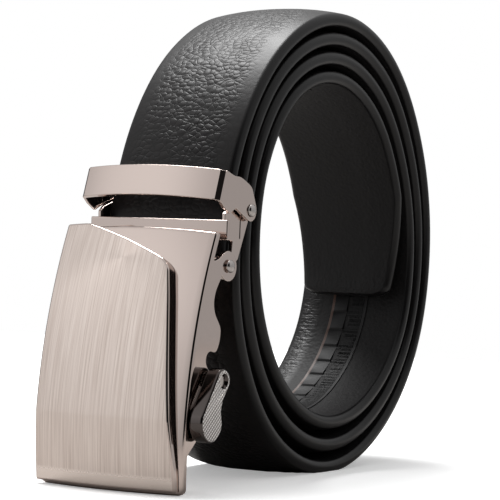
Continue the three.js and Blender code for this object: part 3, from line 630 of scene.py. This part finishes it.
def curve_through(points, steps):
    """Points of a smooth curve through an open outline."""
    points = np.asarray(points, float)
    padded = np.vstack([2 * points[0] - points[1], points, 2 * points[-1] - points[-2]])
    place = np.linspace(0, len(points) - 1.0001, steps)
    row = place.astype(int)
    t = (place - row)[:, None]
    a, b, c, d = (padded[row + step] for step in range(4))
    slopes = (c - a) * t + (2 * a - 5 * b + 4 * c - d) * t**2 + (3 * (b - c) + d - a) * t**3
    return [tuple(p) for p in b + slopes / 2]


def arc(centre, radius, start, end, steps=14):
    """Points on a circle in y and z, from one angle to another in degrees."""
    turns = np.radians(np.linspace(start, end, steps))
    return [(centre[0] + radius * math.cos(t), centre[1] + radius * math.sin(t)) for t in turns]


def lathe(name, profile, centre, steps=40):
    """A turned piece along x from (x, radius) points, round a centre in y and z."""
    rings = []
    for x, radius in profile:
        turns = np.linspace(0, 2 * math.pi, steps, endpoint=False)
        ring = [(x, centre[0] + radius * math.cos(t), centre[1] + radius * math.sin(t)) for t in turns]
        rings.append(ring)
    return build(name, *sweep(rings), smooth_below=35)


def sleeve(name, half, bore, radius, centre, chamfer=0.3):
    """A round sleeve across the middle with chamfered ends, closed at its bore, which a pin fills."""
    profile = [(half, bore), (half, radius - chamfer), (half - chamfer, radius)]
    return lathe(name, [(-x, r) for x, r in profile] + profile[::-1], centre)


def bow(x, width, height):
    """How far a bowed bar or plate stands out at x, from 0 at its ends to a height in the middle."""
    return height * (1 - (2 * x / width) ** 2)


columns = np.linspace(STRIP_WIDTH / 2, -STRIP_WIDTH / 2, 41)
rings = []
for z in (STRIP_BOTTOM, STRIP_TOP):
    front = [(x, STRIP_FRONT - bow(x, STRIP_WIDTH, STRIP_BOW), z) for x in columns]
    back = [(x, STRIP_BACK - bow(x, STRIP_WIDTH, STRIP_BOW) * STRIP_BACK_SHARE, z) for x in columns[::-1]]
    rings.append(front + back)
clamp = build("clamp_front_strip", *sweep(rings))
round_edges(clamp, 0.3)

clamp_parts = [clamp]
tongue = [
    (STRIP_BACK, STRIP_BOTTOM + TONGUE_RISE),
    (STRIP_FRONT, STRIP_BOTTOM + TONGUE_RISE),
    (STRIP_FRONT, HINGE[1]),
    (STRIP_BACK, HINGE[1]),
]
clamp_parts.append(side_plate("clamp_tongue", tongue, -TONGUE_HALF, TONGUE_HALF))
clamp_parts.append(sleeve("clamp_knuckle", CLAMP_OUTER, KNUCKLE_BORE, KNUCKLE_RADIUS, HINGE))
back = [(-55.54, 62.2), (-54.64, 62.2), (-54.64, 67.5), (-55.54, 67.5)]
clamp_parts.append(side_plate("clamp_back", back, -CLAMP_OUTER, CLAMP_OUTER))
wall = [
    (-61.0, 56.6),
    (-58.9, 58.6),
    (-58.5, 61.8),
    (-62.5, 62.0),
    (-62.6, 68.4),
    (-61.2, 69.6),
    *arc(PIVOT, EAR_RADIUS, 128, -60, 18),
    (-55.6, 57.2),
    (-58.0, 55.6),
]
clamp_parts += two_plates("clamp_wall", wall, CLAMP_INNER, CLAMP_OUTER)

# Zinc casting, copper and nickel plated and then polished on a cloth wheel: a warm, almost clear mirror
# with faint polishing haze.
HAZE_WIDTH = 2.5
polished, surface = new_material("nickel_plate_polished", Base_Color=to_linear("#d6c7c0"), Metallic=1.0)
where = add(polished, "ShaderNodeTexCoord")
haze = add(
    polished,
    "ShaderNodeTexNoise",
    {"Scale": 1 / (HAZE_WIDTH * MM), "Detail": 4.0, "Roughness": 0.65},
    {"Vector": where.outputs["Object"]},
)
rubbed = add(
    polished,
    "ShaderNodeMapRange",
    {"From Min": 0.3, "From Max": 0.7, "To Min": 0.05, "To Max": 0.11},
    {"Value": haze.outputs["Fac"]},
)
feed(surface, "Roughness", rubbed.outputs["Result"])
for part in clamp_parts:
    part.data.materials.append(polished)
    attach(part, "strap_body")
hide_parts("strap_clamp")


# Keeper rivets: two short steel rivets with domed heads, set through the clamp's walls, on which the
# keeper's arms turn.

ARM_OUTER = 20.4
RIVET_RADIUS, RIVET_END_GAP = 1.0, 0.15
RIVET_HEAD_RADIUS, RIVET_HEAD_HEIGHT = 1.65, 0.85
NEARLY_CLOSED = 0.01
dome = [(math.cos(t), math.sin(t)) for t in np.linspace(math.pi / 2, 0, 10)]


def headed_pin(name, centre, radius, start, seat):
    """A pin from x = start to a domed head that sits on x = seat, on either side."""
    side = 1 if seat > start else -1
    profile = [(start, NEARLY_CLOSED), (start, radius), (seat, radius), (seat, RIVET_HEAD_RADIUS * 0.98)]
    for height, width in dome:
        head = seat + side * RIVET_HEAD_HEIGHT * math.sqrt(max(0, 1 - width**2))
        profile.append((head, max(NEARLY_CLOSED, RIVET_HEAD_RADIUS * width)))
    return lathe(name, profile, centre)


# Steel wire, cold headed and tumbled bright, which leaves tiny duller spots.
SPOT_WIDTH = 0.5
rivet_steel, surface = new_material(
    "steel_cold_headed", Base_Color=to_linear("#c3bdba"), Metallic=1.0, Roughness=0.16
)
where = add(rivet_steel, "ShaderNodeTexCoord")
tumbling = add(
    rivet_steel,
    "ShaderNodeTexNoise",
    {"Scale": 1 / (SPOT_WIDTH * MM), "Detail": 2.0},
    {"Vector": where.outputs["Object"]},
)
rubbed = add(
    rivet_steel,
    "ShaderNodeMapRange",
    {"To Min": 0.12, "To Max": 0.24},
    {"Value": tumbling.outputs["Fac"]},
)
feed(surface, "Roughness", rubbed.outputs["Result"])
for side, name in ((-1, "keeper_rivet_left"), (1, "keeper_rivet_right")):
    start, seat = side * (CLAMP_INNER - RIVET_END_GAP), side * (ARM_OUTER + RIVET_END_GAP)
    rivet = headed_pin(name + "_turned", PIVOT, RIVET_RADIUS, start, seat)
    rivet.data.materials.append(rivet_steel)
    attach(rivet, "strap_body")
    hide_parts(name)


# Keeper: a bail of nickel-plated zinc with a bowed bar in front of the strap and an arm at each side. The
# bar is polished, and its ends are bevelled where it turns into the arms.

KEEPER_WIDTH = 40.8
BAR_HEIGHT, BAR_THICKNESS, BAR_BOW = 8, 1.3, 3
BAR_TILT = math.radians(18.5)
BAR_CORNER, BAR_CORNER_DEPTH = 1.1, 0.77
ARM_REACH, ARM_RISE, ARM_THICKNESS = 16.1, 2.1, 0.9
ARM_BELOW_TOP = 0.1
BAR_FOOT = (PIVOT[0] - ARM_REACH, PIVOT[1] + ARM_RISE)

# An arm's edges, as shares of its reach backwards and of the bar's height upwards from the bar's foot
ARM_TOP = [(0.235, 0.93), (0.47, 0.79), (0.65, 0.76), (0.84, 0.63), (1.0, 0.47), (1.07, 0.25)]
ARM_LOWER = [(0.54, -0.225), (0.35, -0.4), (0.16, -0.2)]


def on_bar(x, up, out):
    """A point of the bar, up its face from its foot and out in front of its ends."""
    y = BAR_FOOT[0] + up * math.sin(BAR_TILT) - out * math.cos(BAR_TILT)
    z = BAR_FOOT[1] + up * math.cos(BAR_TILT) + out * math.sin(BAR_TILT)
    return x, y, z


half_flat = KEEPER_WIDTH / 2 - BAR_CORNER
columns = [KEEPER_WIDTH / 2, *np.linspace(half_flat, -half_flat, 41), -KEEPER_WIDTH / 2]
rings = []
for up in (0, BAR_HEIGHT):
    front, back = [], []
    for i, x in enumerate(columns):
        out = bow(x, KEEPER_WIDTH, BAR_BOW)
        corner = BAR_CORNER_DEPTH if i in (0, len(columns) - 1) else 0
        front.append(on_bar(x, up, out - corner))
        back.insert(0, on_bar(x, up, out - BAR_THICKNESS))
    rings.append(front + back)
keeper = build("keeper_bar", *sweep(rings), smooth_below=25)
round_edges(keeper, 0.22)


def on_arm(back, up):
    """A point of an arm's edge, from shares of its reach and of the bar's height."""
    return BAR_FOOT[0] + back * ARM_REACH, BAR_FOOT[1] + up * BAR_HEIGHT


arm = [
    on_bar(0, 0, -BAR_CORNER)[1:],
    on_bar(0, BAR_HEIGHT - ARM_BELOW_TOP, -BAR_CORNER)[1:],
    *curve_through([on_arm(*p) for p in ARM_TOP], 20),
    *arc(PIVOT, EAR_RADIUS, 20, -120, 12),
    *[on_arm(*p) for p in ARM_LOWER],
]
keeper_parts = [keeper, *two_plates("keeper_arm", arm, ARM_OUTER - ARM_THICKNESS, ARM_OUTER)]
for part in keeper_parts:
    part.data.materials.append(polished)
    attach(part, "keeper_body")
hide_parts("keeper")


# Buckle housing: a bowed plate of nickel-plated zinc, curved along its length and cast in one with a
# scalloped wall behind each edge. The walls end in the lobes that hold the hinge pin.

HOUSING_WIDTH = 41.6
PLATE_LENGTH, PLATE_THICKNESS, PLATE_BOW = 65.5, 1.6, 2.2
BEND_RADIUS, BEND_CENTRE = 141.5, (60.2, 6.7)
PLATE_UPRIGHT = 6.6
PLATE_CORNER, PLATE_EDGE = 1.5, 0.6
WALL_THICKNESS, WALL_DEPTH, WALL_INSET = 1.2, 12, 0.3
HINGE_ALONG, HINGE_DEPTH, LOBE_RADIUS = 60.1, 9.3, 4.0


def on_plate(along, out):
    """A point of the bent plate, along from its bottom edge and out in front of its edges."""
    turn = (along - PLATE_UPRIGHT) / BEND_RADIUS
    radius = BEND_RADIUS + out
    return BEND_CENTRE[0] - radius * math.cos(turn), BEND_CENTRE[1] + radius * math.sin(turn)


def rounded_slab(name, start, end, sides, place, depth, radius):
    """A bent slab with its front edges rounded, and which of its faces lie clear of the rounding.

    sides(along) gives its left and right limits and place(x, along, drop) a point behind its front."""
    nearby = 0.2
    fillet = radius * (1 - np.cos(np.linspace(0, math.pi / 2, 7)))
    inside = np.linspace(start + radius, end - radius, 120)[1:-1]
    rings, flat = [], []
    for along in (*(start + fillet), *inside, *(end - fillet[::-1])):
        left, right = sides(along)
        ahead, behind = sides(min(end, along + nearby)), sides(max(start, along - nearby))
        lead = (np.array(ahead) - np.array(behind)) / (2 * nearby)
        stretch = np.sqrt(1 + lead**2)
        columns = [*(right - fillet * stretch[1])]
        columns += [*np.linspace(right - radius * stretch[1], left + radius * stretch[0], 30)[1:-1]]
        columns += [*(left + fillet[::-1] * stretch[0])]
        to_end = max(0, radius - min(along - start, end - along))
        front = []
        for x in columns:
            to_side = max(0, radius - min((right - x) / stretch[1], (x - left) / stretch[0]))
            drop = radius - math.sqrt(max(0, radius**2 - to_end**2 - to_side**2))
            front.append(place(x, along, drop))
            flat.append(drop < 1e-6)
        rear = [place(x, along, depth) for x in np.linspace(left, right, 24)]
        flat += [False] * len(rear)
        rings.append(front + rear)
    return build(name, *sweep(rings)), flat


def plate_sides(along):
    """The plate's left and right limits, with rounded corners at its bottom."""
    turn = max(0, 1 - along / PLATE_CORNER)
    half = HOUSING_WIDTH / 2 - PLATE_CORNER * (1 - math.sqrt(1 - turn**2))
    return -half, half


def plate_place(x, along, drop):
    """A point of the plate, behind its bowed front."""
    y, z = on_plate(along, bow(x, HOUSING_WIDTH, PLATE_BOW) - drop)
    return x, y, max(0, z)


housing, _ = rounded_slab(
    "housing_plate", 0, PLATE_LENGTH, plate_sides, plate_place, PLATE_THICKNESS, PLATE_EDGE
)
housing_parts = [housing]

# Rear edge of a wall, as shares of the plate's length from its bottom and of the wall's depth
WALL_EDGE = [
    (0.124, 0.1), (0.154, 0.24), (0.184, 0.42), (0.221, 0.6), (0.282, 0.75), (0.374, 0.92), (0.458, 1.0),
    (0.479, 0.92), (0.484, 0.73), (0.509, 0.59), (0.54, 0.59), (0.557, 0.7), (0.56, 0.88), (0.58, 0.965),
    (0.618, 1.0), (0.661, 0.96), (0.685, 0.825), (0.707, 0.66), (0.743, 0.535), (0.789, 0.51),
    (0.834, 0.57),
]
WALL_NECK = [(0.918, 0.37), (0.9, 0.24), (0.896, 0.1)]
edge = curve_through([(a * PLATE_LENGTH, d * WALL_DEPTH) for a, d in WALL_EDGE], 90)
lobe = arc((HINGE_ALONG, HINGE_DEPTH), LOBE_RADIUS, 208, -62, 24)
neck = [(a * PLATE_LENGTH, d * WALL_DEPTH) for a, d in WALL_NECK]
foot, head = WALL_EDGE[0][0] * PLATE_LENGTH, WALL_NECK[-1][0] * PLATE_LENGTH
front = [(a, PLATE_THICKNESS / 2) for a in np.linspace(head, foot, 24)]
wall = [on_plate(a, -d) for a, d in edge + lobe + neck + front]
wall_outer = HOUSING_WIDTH / 2 - WALL_INSET
housing_parts += two_plates("housing_wall", wall, wall_outer - WALL_THICKNESS, wall_outer, bevel=0.22)
for part in housing_parts:
    part.data.materials.append(polished)
    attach(part, "buckle_body")
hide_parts("buckle_housing")


# Face panel: a raised plate of nickel-plated zinc pressed onto the housing, brushed along its length, with
# polished edges. Its right edge slants in towards the top, where a long slanting cut takes off the corner.

PANEL_HEIGHT, PANEL_LOW_HEIGHT, PANEL_RAMP = 3.1, 1.5, 17
PANEL_FOOT, PANEL_HEAD, PANEL_LEFT = 0.9, 0.6, -21.1
PANEL_GAP, PANEL_BEVEL = 0.3, 0.6

# Right edge from the bottom up, as shares of the panel's length and of the housing's width from the middle
PANEL_EDGE = [
    (0, 0.478), (0.09, 0.47), (0.25, 0.442), (0.4, 0.4145), (0.55, 0.384), (0.7, 0.346), (0.805, 0.311),
    (0.835, 0.297), (0.857, 0.27), (0.872, 0.235), (0.89, 0.17), (0.91, 0.09), (0.94, -0.035),
    (0.97, -0.18), (1, -0.33),
]
panel_end = PLATE_LENGTH - PANEL_HEAD
panel_curve = np.array(curve_through(PANEL_EDGE, 200))


def panel_sides(along):
    """The panel's left and right limits."""
    share = (along - PANEL_FOOT) / (panel_end - PANEL_FOOT)
    return PANEL_LEFT, np.interp(share, panel_curve[:, 0], panel_curve[:, 1]) * HOUSING_WIDTH


def panel_place(x, along, drop):
    """A point of the panel, behind its front, which slopes down towards the bottom."""
    rise = min(1, (along - PANEL_FOOT) / PANEL_RAMP)
    height = PANEL_LOW_HEIGHT + (PANEL_HEIGHT - PANEL_LOW_HEIGHT) * rise
    out = PANEL_GAP + max(0, height - drop)
    y, z = on_plate(along, bow(x, HOUSING_WIDTH, PLATE_BOW) + out)
    return x, y, z


panel, panel_flat = rounded_slab(
    "brushed_face_panel", PANEL_FOOT, panel_end, panel_sides, panel_place, PANEL_HEIGHT, PANEL_BEVEL
)

# Nickel plate drawn along an abrasive belt: fine straight lines down the whole face, a few of them deeper,
# which spread the reflection sideways. The lines stop at a polished border along the bottom. They are drawn
# coarser than the real scratches, which are too fine to show.
BRUSH_LINE, BRUSH_DEPTH, BRUSH_STRETCH = 0.3, 0.03, 0.012
BORDER_BOTTOM, BORDER_TOP = 3.2, 4.8
brushed, surface = new_material(
    "nickel_plate_brushed", Metallic=1.0, Anisotropic=0.6, Anisotropic_Rotation=0.25
)
where = add(brushed, "ShaderNodeTexCoord")
along_belt = add(
    brushed,
    "ShaderNodeMapping",
    {"Scale": (1.0, BRUSH_STRETCH, BRUSH_STRETCH)},
    {"Vector": where.outputs["Object"]},
)
scratches = add(
    brushed,
    "ShaderNodeTexNoise",
    {"Scale": 1 / (BRUSH_LINE * MM), "Detail": 4.0, "Roughness": 0.7},
    {"Vector": along_belt.outputs["Vector"]},
)
height_above = add(brushed, "ShaderNodeSeparateXYZ", {}, {"Vector": where.outputs["Object"]})
on_face = add(
    brushed,
    "ShaderNodeMapRange",
    {"From Min": BORDER_BOTTOM * MM, "From Max": BORDER_TOP * MM},
    {"Value": height_above.outputs["Z"]},
)
depth = add(
    brushed,
    "ShaderNodeMath",
    {"operation": "MULTIPLY"},
    {0: scratches.outputs["Fac"], 1: on_face.outputs["Result"]},
)
shine = add(
    brushed,
    "ShaderNodeMapRange",
    {"From Max": 0.7, "To Min": 0.16, "To Max": 0.44},
    {"Value": depth.outputs["Value"]},
)
feed(surface, "Roughness", shine.outputs["Result"])
tint = add(
    brushed, "ShaderNodeMapRange", {"From Min": 0.32, "From Max": 0.68}, {"Value": depth.outputs["Value"]}
)
tone = add(
    brushed,
    "ShaderNodeMix",
    {"data_type": "RGBA", MIX_A: to_linear("#f6e9e1"), MIX_B: to_linear("#d6c6bd")},
    {"Factor": tint.outputs["Result"]},
)
feed(surface, "Base Color", tone.outputs[MIX_RESULT])
relief = add(
    brushed,
    "ShaderNodeBump",
    {"Strength": 0.12, "Distance": BRUSH_DEPTH * MM},
    {"Height": depth.outputs["Value"]},
)
feed(surface, "Normal", relief.outputs["Normal"])
panel.data.materials.append(brushed)
panel.data.materials.append(polished)
for face in panel.data.polygons:
    face.material_index = 0 if all(panel_flat[vertex] for vertex in face.vertices) else 1
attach(panel, "buckle_body")
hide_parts("face_panel")


# Hinge pin: a steel pin through the housing's lobes and the clamp's knuckle, on which the buckle swings. It
# is cold headed like the rivets, and a domed head at each end keeps it in place.

PIN_RADIUS = 1.1
for side, name in ((-1, "hinge_pin_left_half"), (1, "hinge_pin_right_half")):
    pin = headed_pin(name, HINGE, PIN_RADIUS, 0, side * (HOUSING_WIDTH / 2 + RIVET_END_GAP))
    pin.data.materials.append(rivet_steel)
    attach(pin, "buckle_body")
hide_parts("hinge_pin")


# Release lever: a small cast lever outside the right wall, with a hole for the end of its shaft. Its outer
# face is knurled for the thumb and nickel plated, and its rounded flanks are polished nickel, coloured dark
# as painted shade.

SHAFT = (-70.64, 27.6)
LEVER_INNER, LEVER_OUTER = 21.1, 25.1
EYE_RADIUS, PAD_RADIUS, LEVER_NECK = 3.1, 4.9, 3.3
PAD_FORWARD, PAD_DROP = 4.8, 9.9
HOLE_RADIUS, HOLE_REACH = 1.9, 40
LEVER_BEVEL = 0.8
PAD = (SHAFT[0] - PAD_FORWARD, SHAFT[1] - PAD_DROP)
lean = math.degrees(math.atan2(PAD[1] - SHAFT[1], PAD[0] - SHAFT[0]))
reach = math.hypot(PAD[0] - SHAFT[0], PAD[1] - SHAFT[1])


def on_lever(along, aside):
    """A point of the lever, along from its shaft to its pad and aside of that line."""
    turn = math.radians(lean)
    y = SHAFT[0] + along * math.cos(turn) - aside * math.sin(turn)
    return y, SHAFT[1] + along * math.sin(turn) + aside * math.cos(turn)


outline = [
    *arc(PAD, PAD_RADIUS, lean - 90, lean + 112, 26),
    on_lever(reach * 0.62, LEVER_NECK * 0.8),
    on_lever(reach * 0.4, LEVER_NECK * 0.66),
    *arc(SHAFT, EYE_RADIUS, lean + 60, lean + 270, 24),
]
lever = side_plate("knurled_release_lever", outline, LEVER_INNER, LEVER_OUTER, LEVER_BEVEL)
lever.modifiers["broken_edges"].segments = 6
hole = [(0, NEARLY_CLOSED), (0, HOLE_RADIUS), (HOLE_REACH, HOLE_RADIUS), (HOLE_REACH, NEARLY_CLOSED)]
cutter = lathe("shaft_cutter", hole, SHAFT)
recess = lever.modifiers.new("shaft_hole", "BOOLEAN")
recess.object = cutter
shape = bpy.data.meshes.new_from_object(lever.evaluated_get(bpy.context.evaluated_depsgraph_get()))
lever.modifiers.clear()
lever.data = shape
bpy.data.objects.remove(cutter)

# Knurled nickel plate: two crossing rows of fine ridges, one deeper than the other, cut at a slant and
# rounded by polishing. The pitch is the real one of a fine knurl.
KNURL_PITCH, KNURL_DEPTH = 0.8, 0.2
KNURL_SLANTS, FAINT_ROW = (32, -40), 0.35
knurled, surface = new_material("nickel_plate_knurled", Metallic=1.0, Roughness=0.22)
where = add(knurled, "ShaderNodeTexCoord")
heights = []
for slant in KNURL_SLANTS:
    turned = add(
        knurled,
        "ShaderNodeMapping",
        {"Rotation": (math.radians(slant), 0, 0)},
        {"Vector": where.outputs["Object"]},
    )
    ridges = add(
        knurled,
        "ShaderNodeTexWave",
        {"bands_direction": "Z", "Scale": math.pi / 10 / (KNURL_PITCH * MM)},
        {"Vector": turned.outputs["Vector"]},
    )
    heights.append(ridges.outputs["Fac"])
crossed = add(
    knurled, "ShaderNodeMath", {"operation": "MULTIPLY_ADD", 1: FAINT_ROW}, {0: heights[0], 2: heights[1]}
)
# The grooves are coloured darker than the ridges: painted shade in the grooves, which makes the knurl show.
tone = add(
    knurled,
    "ShaderNodeMix",
    {"data_type": "RGBA", MIX_A: to_linear("#a39a95"), MIX_B: to_linear("#fdf9f6")},
    {"Factor": crossed.outputs["Value"]},
)
feed(surface, "Base Color", tone.outputs[MIX_RESULT])
relief = add(
    knurled,
    "ShaderNodeBump",
    {"Strength": 1.0, "Distance": KNURL_DEPTH * MM},
    {"Height": crossed.outputs["Value"]},
)
feed(surface, "Normal", relief.outputs["Normal"])

# Polished nickel on the flanks, coloured dark as painted shade: a dark, smoky mirror that rims the knurl.
flank_nickel_painted_shade, surface = new_material(
    "nickel_plate_polished_painted_shade", Base_Color=to_linear("#5a5452"), Metallic=1.0, Roughness=0.08
)
lever.data.materials.clear()
lever.data.materials.append(flank_nickel_painted_shade)
lever.data.materials.append(knurled)
for face in lever.data.polygons:
    face.material_index = 1 if face.normal.x > 0.9 else 0
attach(lever, "lever_body")
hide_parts("release_lever")


# Lever shaft and pawl: the steel shaft that the lever is pressed onto, and the plated pawl on it between
# the walls, whose tooth catches in the track.

SHAFT_RADIUS, SHAFT_CHAMFER = 1.5, 0.2
SHAFT_LEFT, SHAFT_RIGHT = -HOUSING_WIDTH / 2 - 0.3, LEVER_OUTER - 0.7
shaft_profile = [
    (SHAFT_LEFT, NEARLY_CLOSED),
    (SHAFT_LEFT, SHAFT_RADIUS - SHAFT_CHAMFER),
    (SHAFT_LEFT + SHAFT_CHAMFER, SHAFT_RADIUS),
    (SHAFT_RIGHT - SHAFT_CHAMFER, SHAFT_RADIUS),
    (SHAFT_RIGHT, SHAFT_RADIUS - SHAFT_CHAMFER),
    (SHAFT_RIGHT, NEARLY_CLOSED),
]
shaft = lathe("lever_shaft_turned", shaft_profile, SHAFT)
shaft.data.materials.append(rivet_steel)
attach(shaft, "lever_body")
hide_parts("lever_shaft")

PAWL_WIDTH, PAWL_LENGTH, PAWL_THICKNESS, PAWL_TOOTH = 26, 15, 1.6, 1.4
HUB_RADIUS, HUB_BORE = 2.9, 1.8
SHAFT_ALONG, SHAFT_DEPTH = 0.443 * PLATE_LENGTH, 9
pawl_end = SHAFT_ALONG + PAWL_LENGTH
pawl_front, pawl_rear = PAWL_THICKNESS / 2 - SHAFT_DEPTH, -PAWL_THICKNESS / 2 - SHAFT_DEPTH
pawl_outline = [
    on_plate(SHAFT_ALONG, pawl_front),
    on_plate(pawl_end - PAWL_TOOTH, pawl_front),
    on_plate(pawl_end, pawl_front + PAWL_TOOTH),
    on_plate(pawl_end, pawl_rear),
    on_plate(SHAFT_ALONG, pawl_rear),
]
pawl = side_plate("pawl_arm", pawl_outline, -PAWL_WIDTH / 2, PAWL_WIDTH / 2)
hub = sleeve("pawl_hub", PAWL_WIDTH / 2, HUB_BORE, HUB_RADIUS, SHAFT)
for part in (pawl, hub):
    part.data.materials.append(polished)
    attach(part, "lever_body")
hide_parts("pawl")


# Studio: a pale matt floor under a white tent, with a broad soft light from above and behind. The tent
# opens to the dark room round the camera, which is what the bevels reflect.

FLOOR_HALF = 0.6
FLOOR_GLOW = 0.32
floor_corners = [(x * FLOOR_HALF, y * FLOOR_HALF, 0) for x, y in ((-1, -1), (1, -1), (1, 1), (-1, 1))]
floor_mesh = bpy.data.meshes.new("studio_floor")
floor_mesh.from_pydata(floor_corners, [], [(0, 1, 2, 3)])
floor = bpy.data.objects.new("studio_floor", floor_mesh)
bpy.context.scene.collection.objects.link(floor)
# Acrylic, lit from below and satin: white to the camera, and a plain grey sheet in the metal's reflections.
table, surface = new_material(
    "acrylic_light_table", Base_Color=to_linear("#f7f7f7"), Roughness=0.9, Specular_IOR_Level=0.1
)
surface.inputs["Emission Color"].default_value = (1, 1, 1, 1)
surface.inputs["Emission Strength"].default_value = FLOOR_GLOW
reflected = add(table, "ShaderNodeBsdfDiffuse", {"Color": to_linear("#aeaba8")})
seen = add(table, "ShaderNodeLightPath")
mixed = add(
    table,
    "ShaderNodeMixShader",
    {},
    {"Fac": seen.outputs["Is Camera Ray"], 1: reflected.outputs["BSDF"], 2: surface.outputs["BSDF"]},
)
output = table.node_tree.nodes["Material Output"]
table.node_tree.links.new(mixed.outputs["Shader"], output.inputs["Surface"])
floor_mesh.materials.append(table)

# Brightness by direction: a bright ceiling over greyer walls, a brighter patch to the left of the camera,
# and two dark openings, one round the camera and one behind the object's left side.
world = bpy.data.worlds.new("white_tent")
bpy.context.scene.world = world
world.use_nodes = True
world.node_tree.nodes.clear()
where = add(world, "ShaderNodeTexCoord")
height = add(world, "ShaderNodeSeparateXYZ", {}, {"Vector": where.outputs["Generated"]})
level = add(
    world,
    "ShaderNodeMapRange",
    {"interpolation_type": "SMOOTHSTEP", "From Max": 0.65, "To Min": 0.6, "To Max": 0.86},
    {"Value": height.outputs["Z"]},
).outputs["Result"]
TENT_ZONES = [
    {"toward": (-0.62, -0.74, 0.25), "outer": 0.75, "inner": 0.97, "rim": 0.72, "core": 1.15},
    {"toward": (0.76, -0.61, 0.24), "outer": 0.73, "inner": 0.85, "rim": 1.0, "core": 0.02},
    {"toward": (-0.86, 0.5, 0.0), "outer": 0.84, "inner": 0.97, "rim": 1.0, "core": 0.2},
]
for zone in TENT_ZONES:
    nearness = add(
        world,
        "ShaderNodeVectorMath",
        {"operation": "DOT_PRODUCT", 1: zone["toward"]},
        {0: where.outputs["Generated"]},
    )
    share = add(
        world,
        "ShaderNodeMapRange",
        {
            "interpolation_type": "SMOOTHSTEP",
            "From Min": zone["outer"],
            "From Max": zone["inner"],
            "To Min": zone["rim"],
            "To Max": zone["core"],
        },
        {"Value": nearness.outputs["Value"]},
    )
    level = add(
        world, "ShaderNodeMath", {"operation": "MULTIPLY"}, {0: level, 1: share.outputs["Result"]}
    ).outputs["Value"]
seen = add(world, "ShaderNodeLightPath")
level = add(
    world, "ShaderNodeMath", {"operation": "MAXIMUM"}, {0: level, 1: seen.outputs["Is Camera Ray"]}
).outputs["Value"]
sky = add(world, "ShaderNodeBackground", {"Color": (1, 1, 1, 1)}, {"Strength": level})
add(world, "ShaderNodeOutputWorld", {}, {"Surface": sky.outputs["Background"]})

SOFTBOX_PLACE, SOFTBOX_TARGET = Vector((-0.26, 0.15, 0.95)), Vector((0, -0.02, 0.1))
SOFTBOX_SIZE, SOFTBOX_POWER = 0.5, 11.5
lamp = bpy.data.lights.new("overhead_softbox", "AREA")
lamp.shape = "RECTANGLE"
lamp.size = lamp.size_y = SOFTBOX_SIZE
lamp.energy = SOFTBOX_POWER
softbox = bpy.data.objects.new("overhead_softbox", lamp)
softbox.location = SOFTBOX_PLACE
softbox.rotation_euler = (SOFTBOX_TARGET - SOFTBOX_PLACE).to_track_quat("-Z", "Y").to_euler()
bpy.context.scene.collection.objects.link(softbox)

# Camera: its place, direction and focal length were fitted to the photograph
CAMERA_PLACE = Vector((0.2988, -0.5345, 0.0614))
AZIMUTH, ELEVATION, ROLL_ANGLE = (math.radians(a) for a in (30.0, 0.175, 2.034))
IMAGE_WIDTH, FOCAL_PIXELS = 500, 2217.9
level_share = math.cos(ELEVATION)
back = Vector((math.sin(AZIMUTH) * level_share, -math.cos(AZIMUTH) * level_share, math.sin(ELEVATION)))
right = Vector((math.cos(AZIMUTH), math.sin(AZIMUTH), 0))
up = back.cross(right)
camera_x = right * math.cos(ROLL_ANGLE) + up * math.sin(ROLL_ANGLE)
camera_y = up * math.cos(ROLL_ANGLE) - right * math.sin(ROLL_ANGLE)
lens = bpy.data.cameras.new("photo_camera")
lens.sensor_width = 36
lens.lens = FOCAL_PIXELS / IMAGE_WIDTH * lens.sensor_width
lens.clip_start, lens.clip_end = 0.01, 20
camera = bpy.data.objects.new("photo_camera", lens)
camera.matrix_world = Matrix((camera_x, camera_y, back)).transposed().to_4x4()
camera.location = CAMERA_PLACE
bpy.context.scene.collection.objects.link(camera)
bpy.context.scene.camera = camera
bpy.context.scene.view_settings.view_transform = "Standard"

bpy.context.view_layer.update()
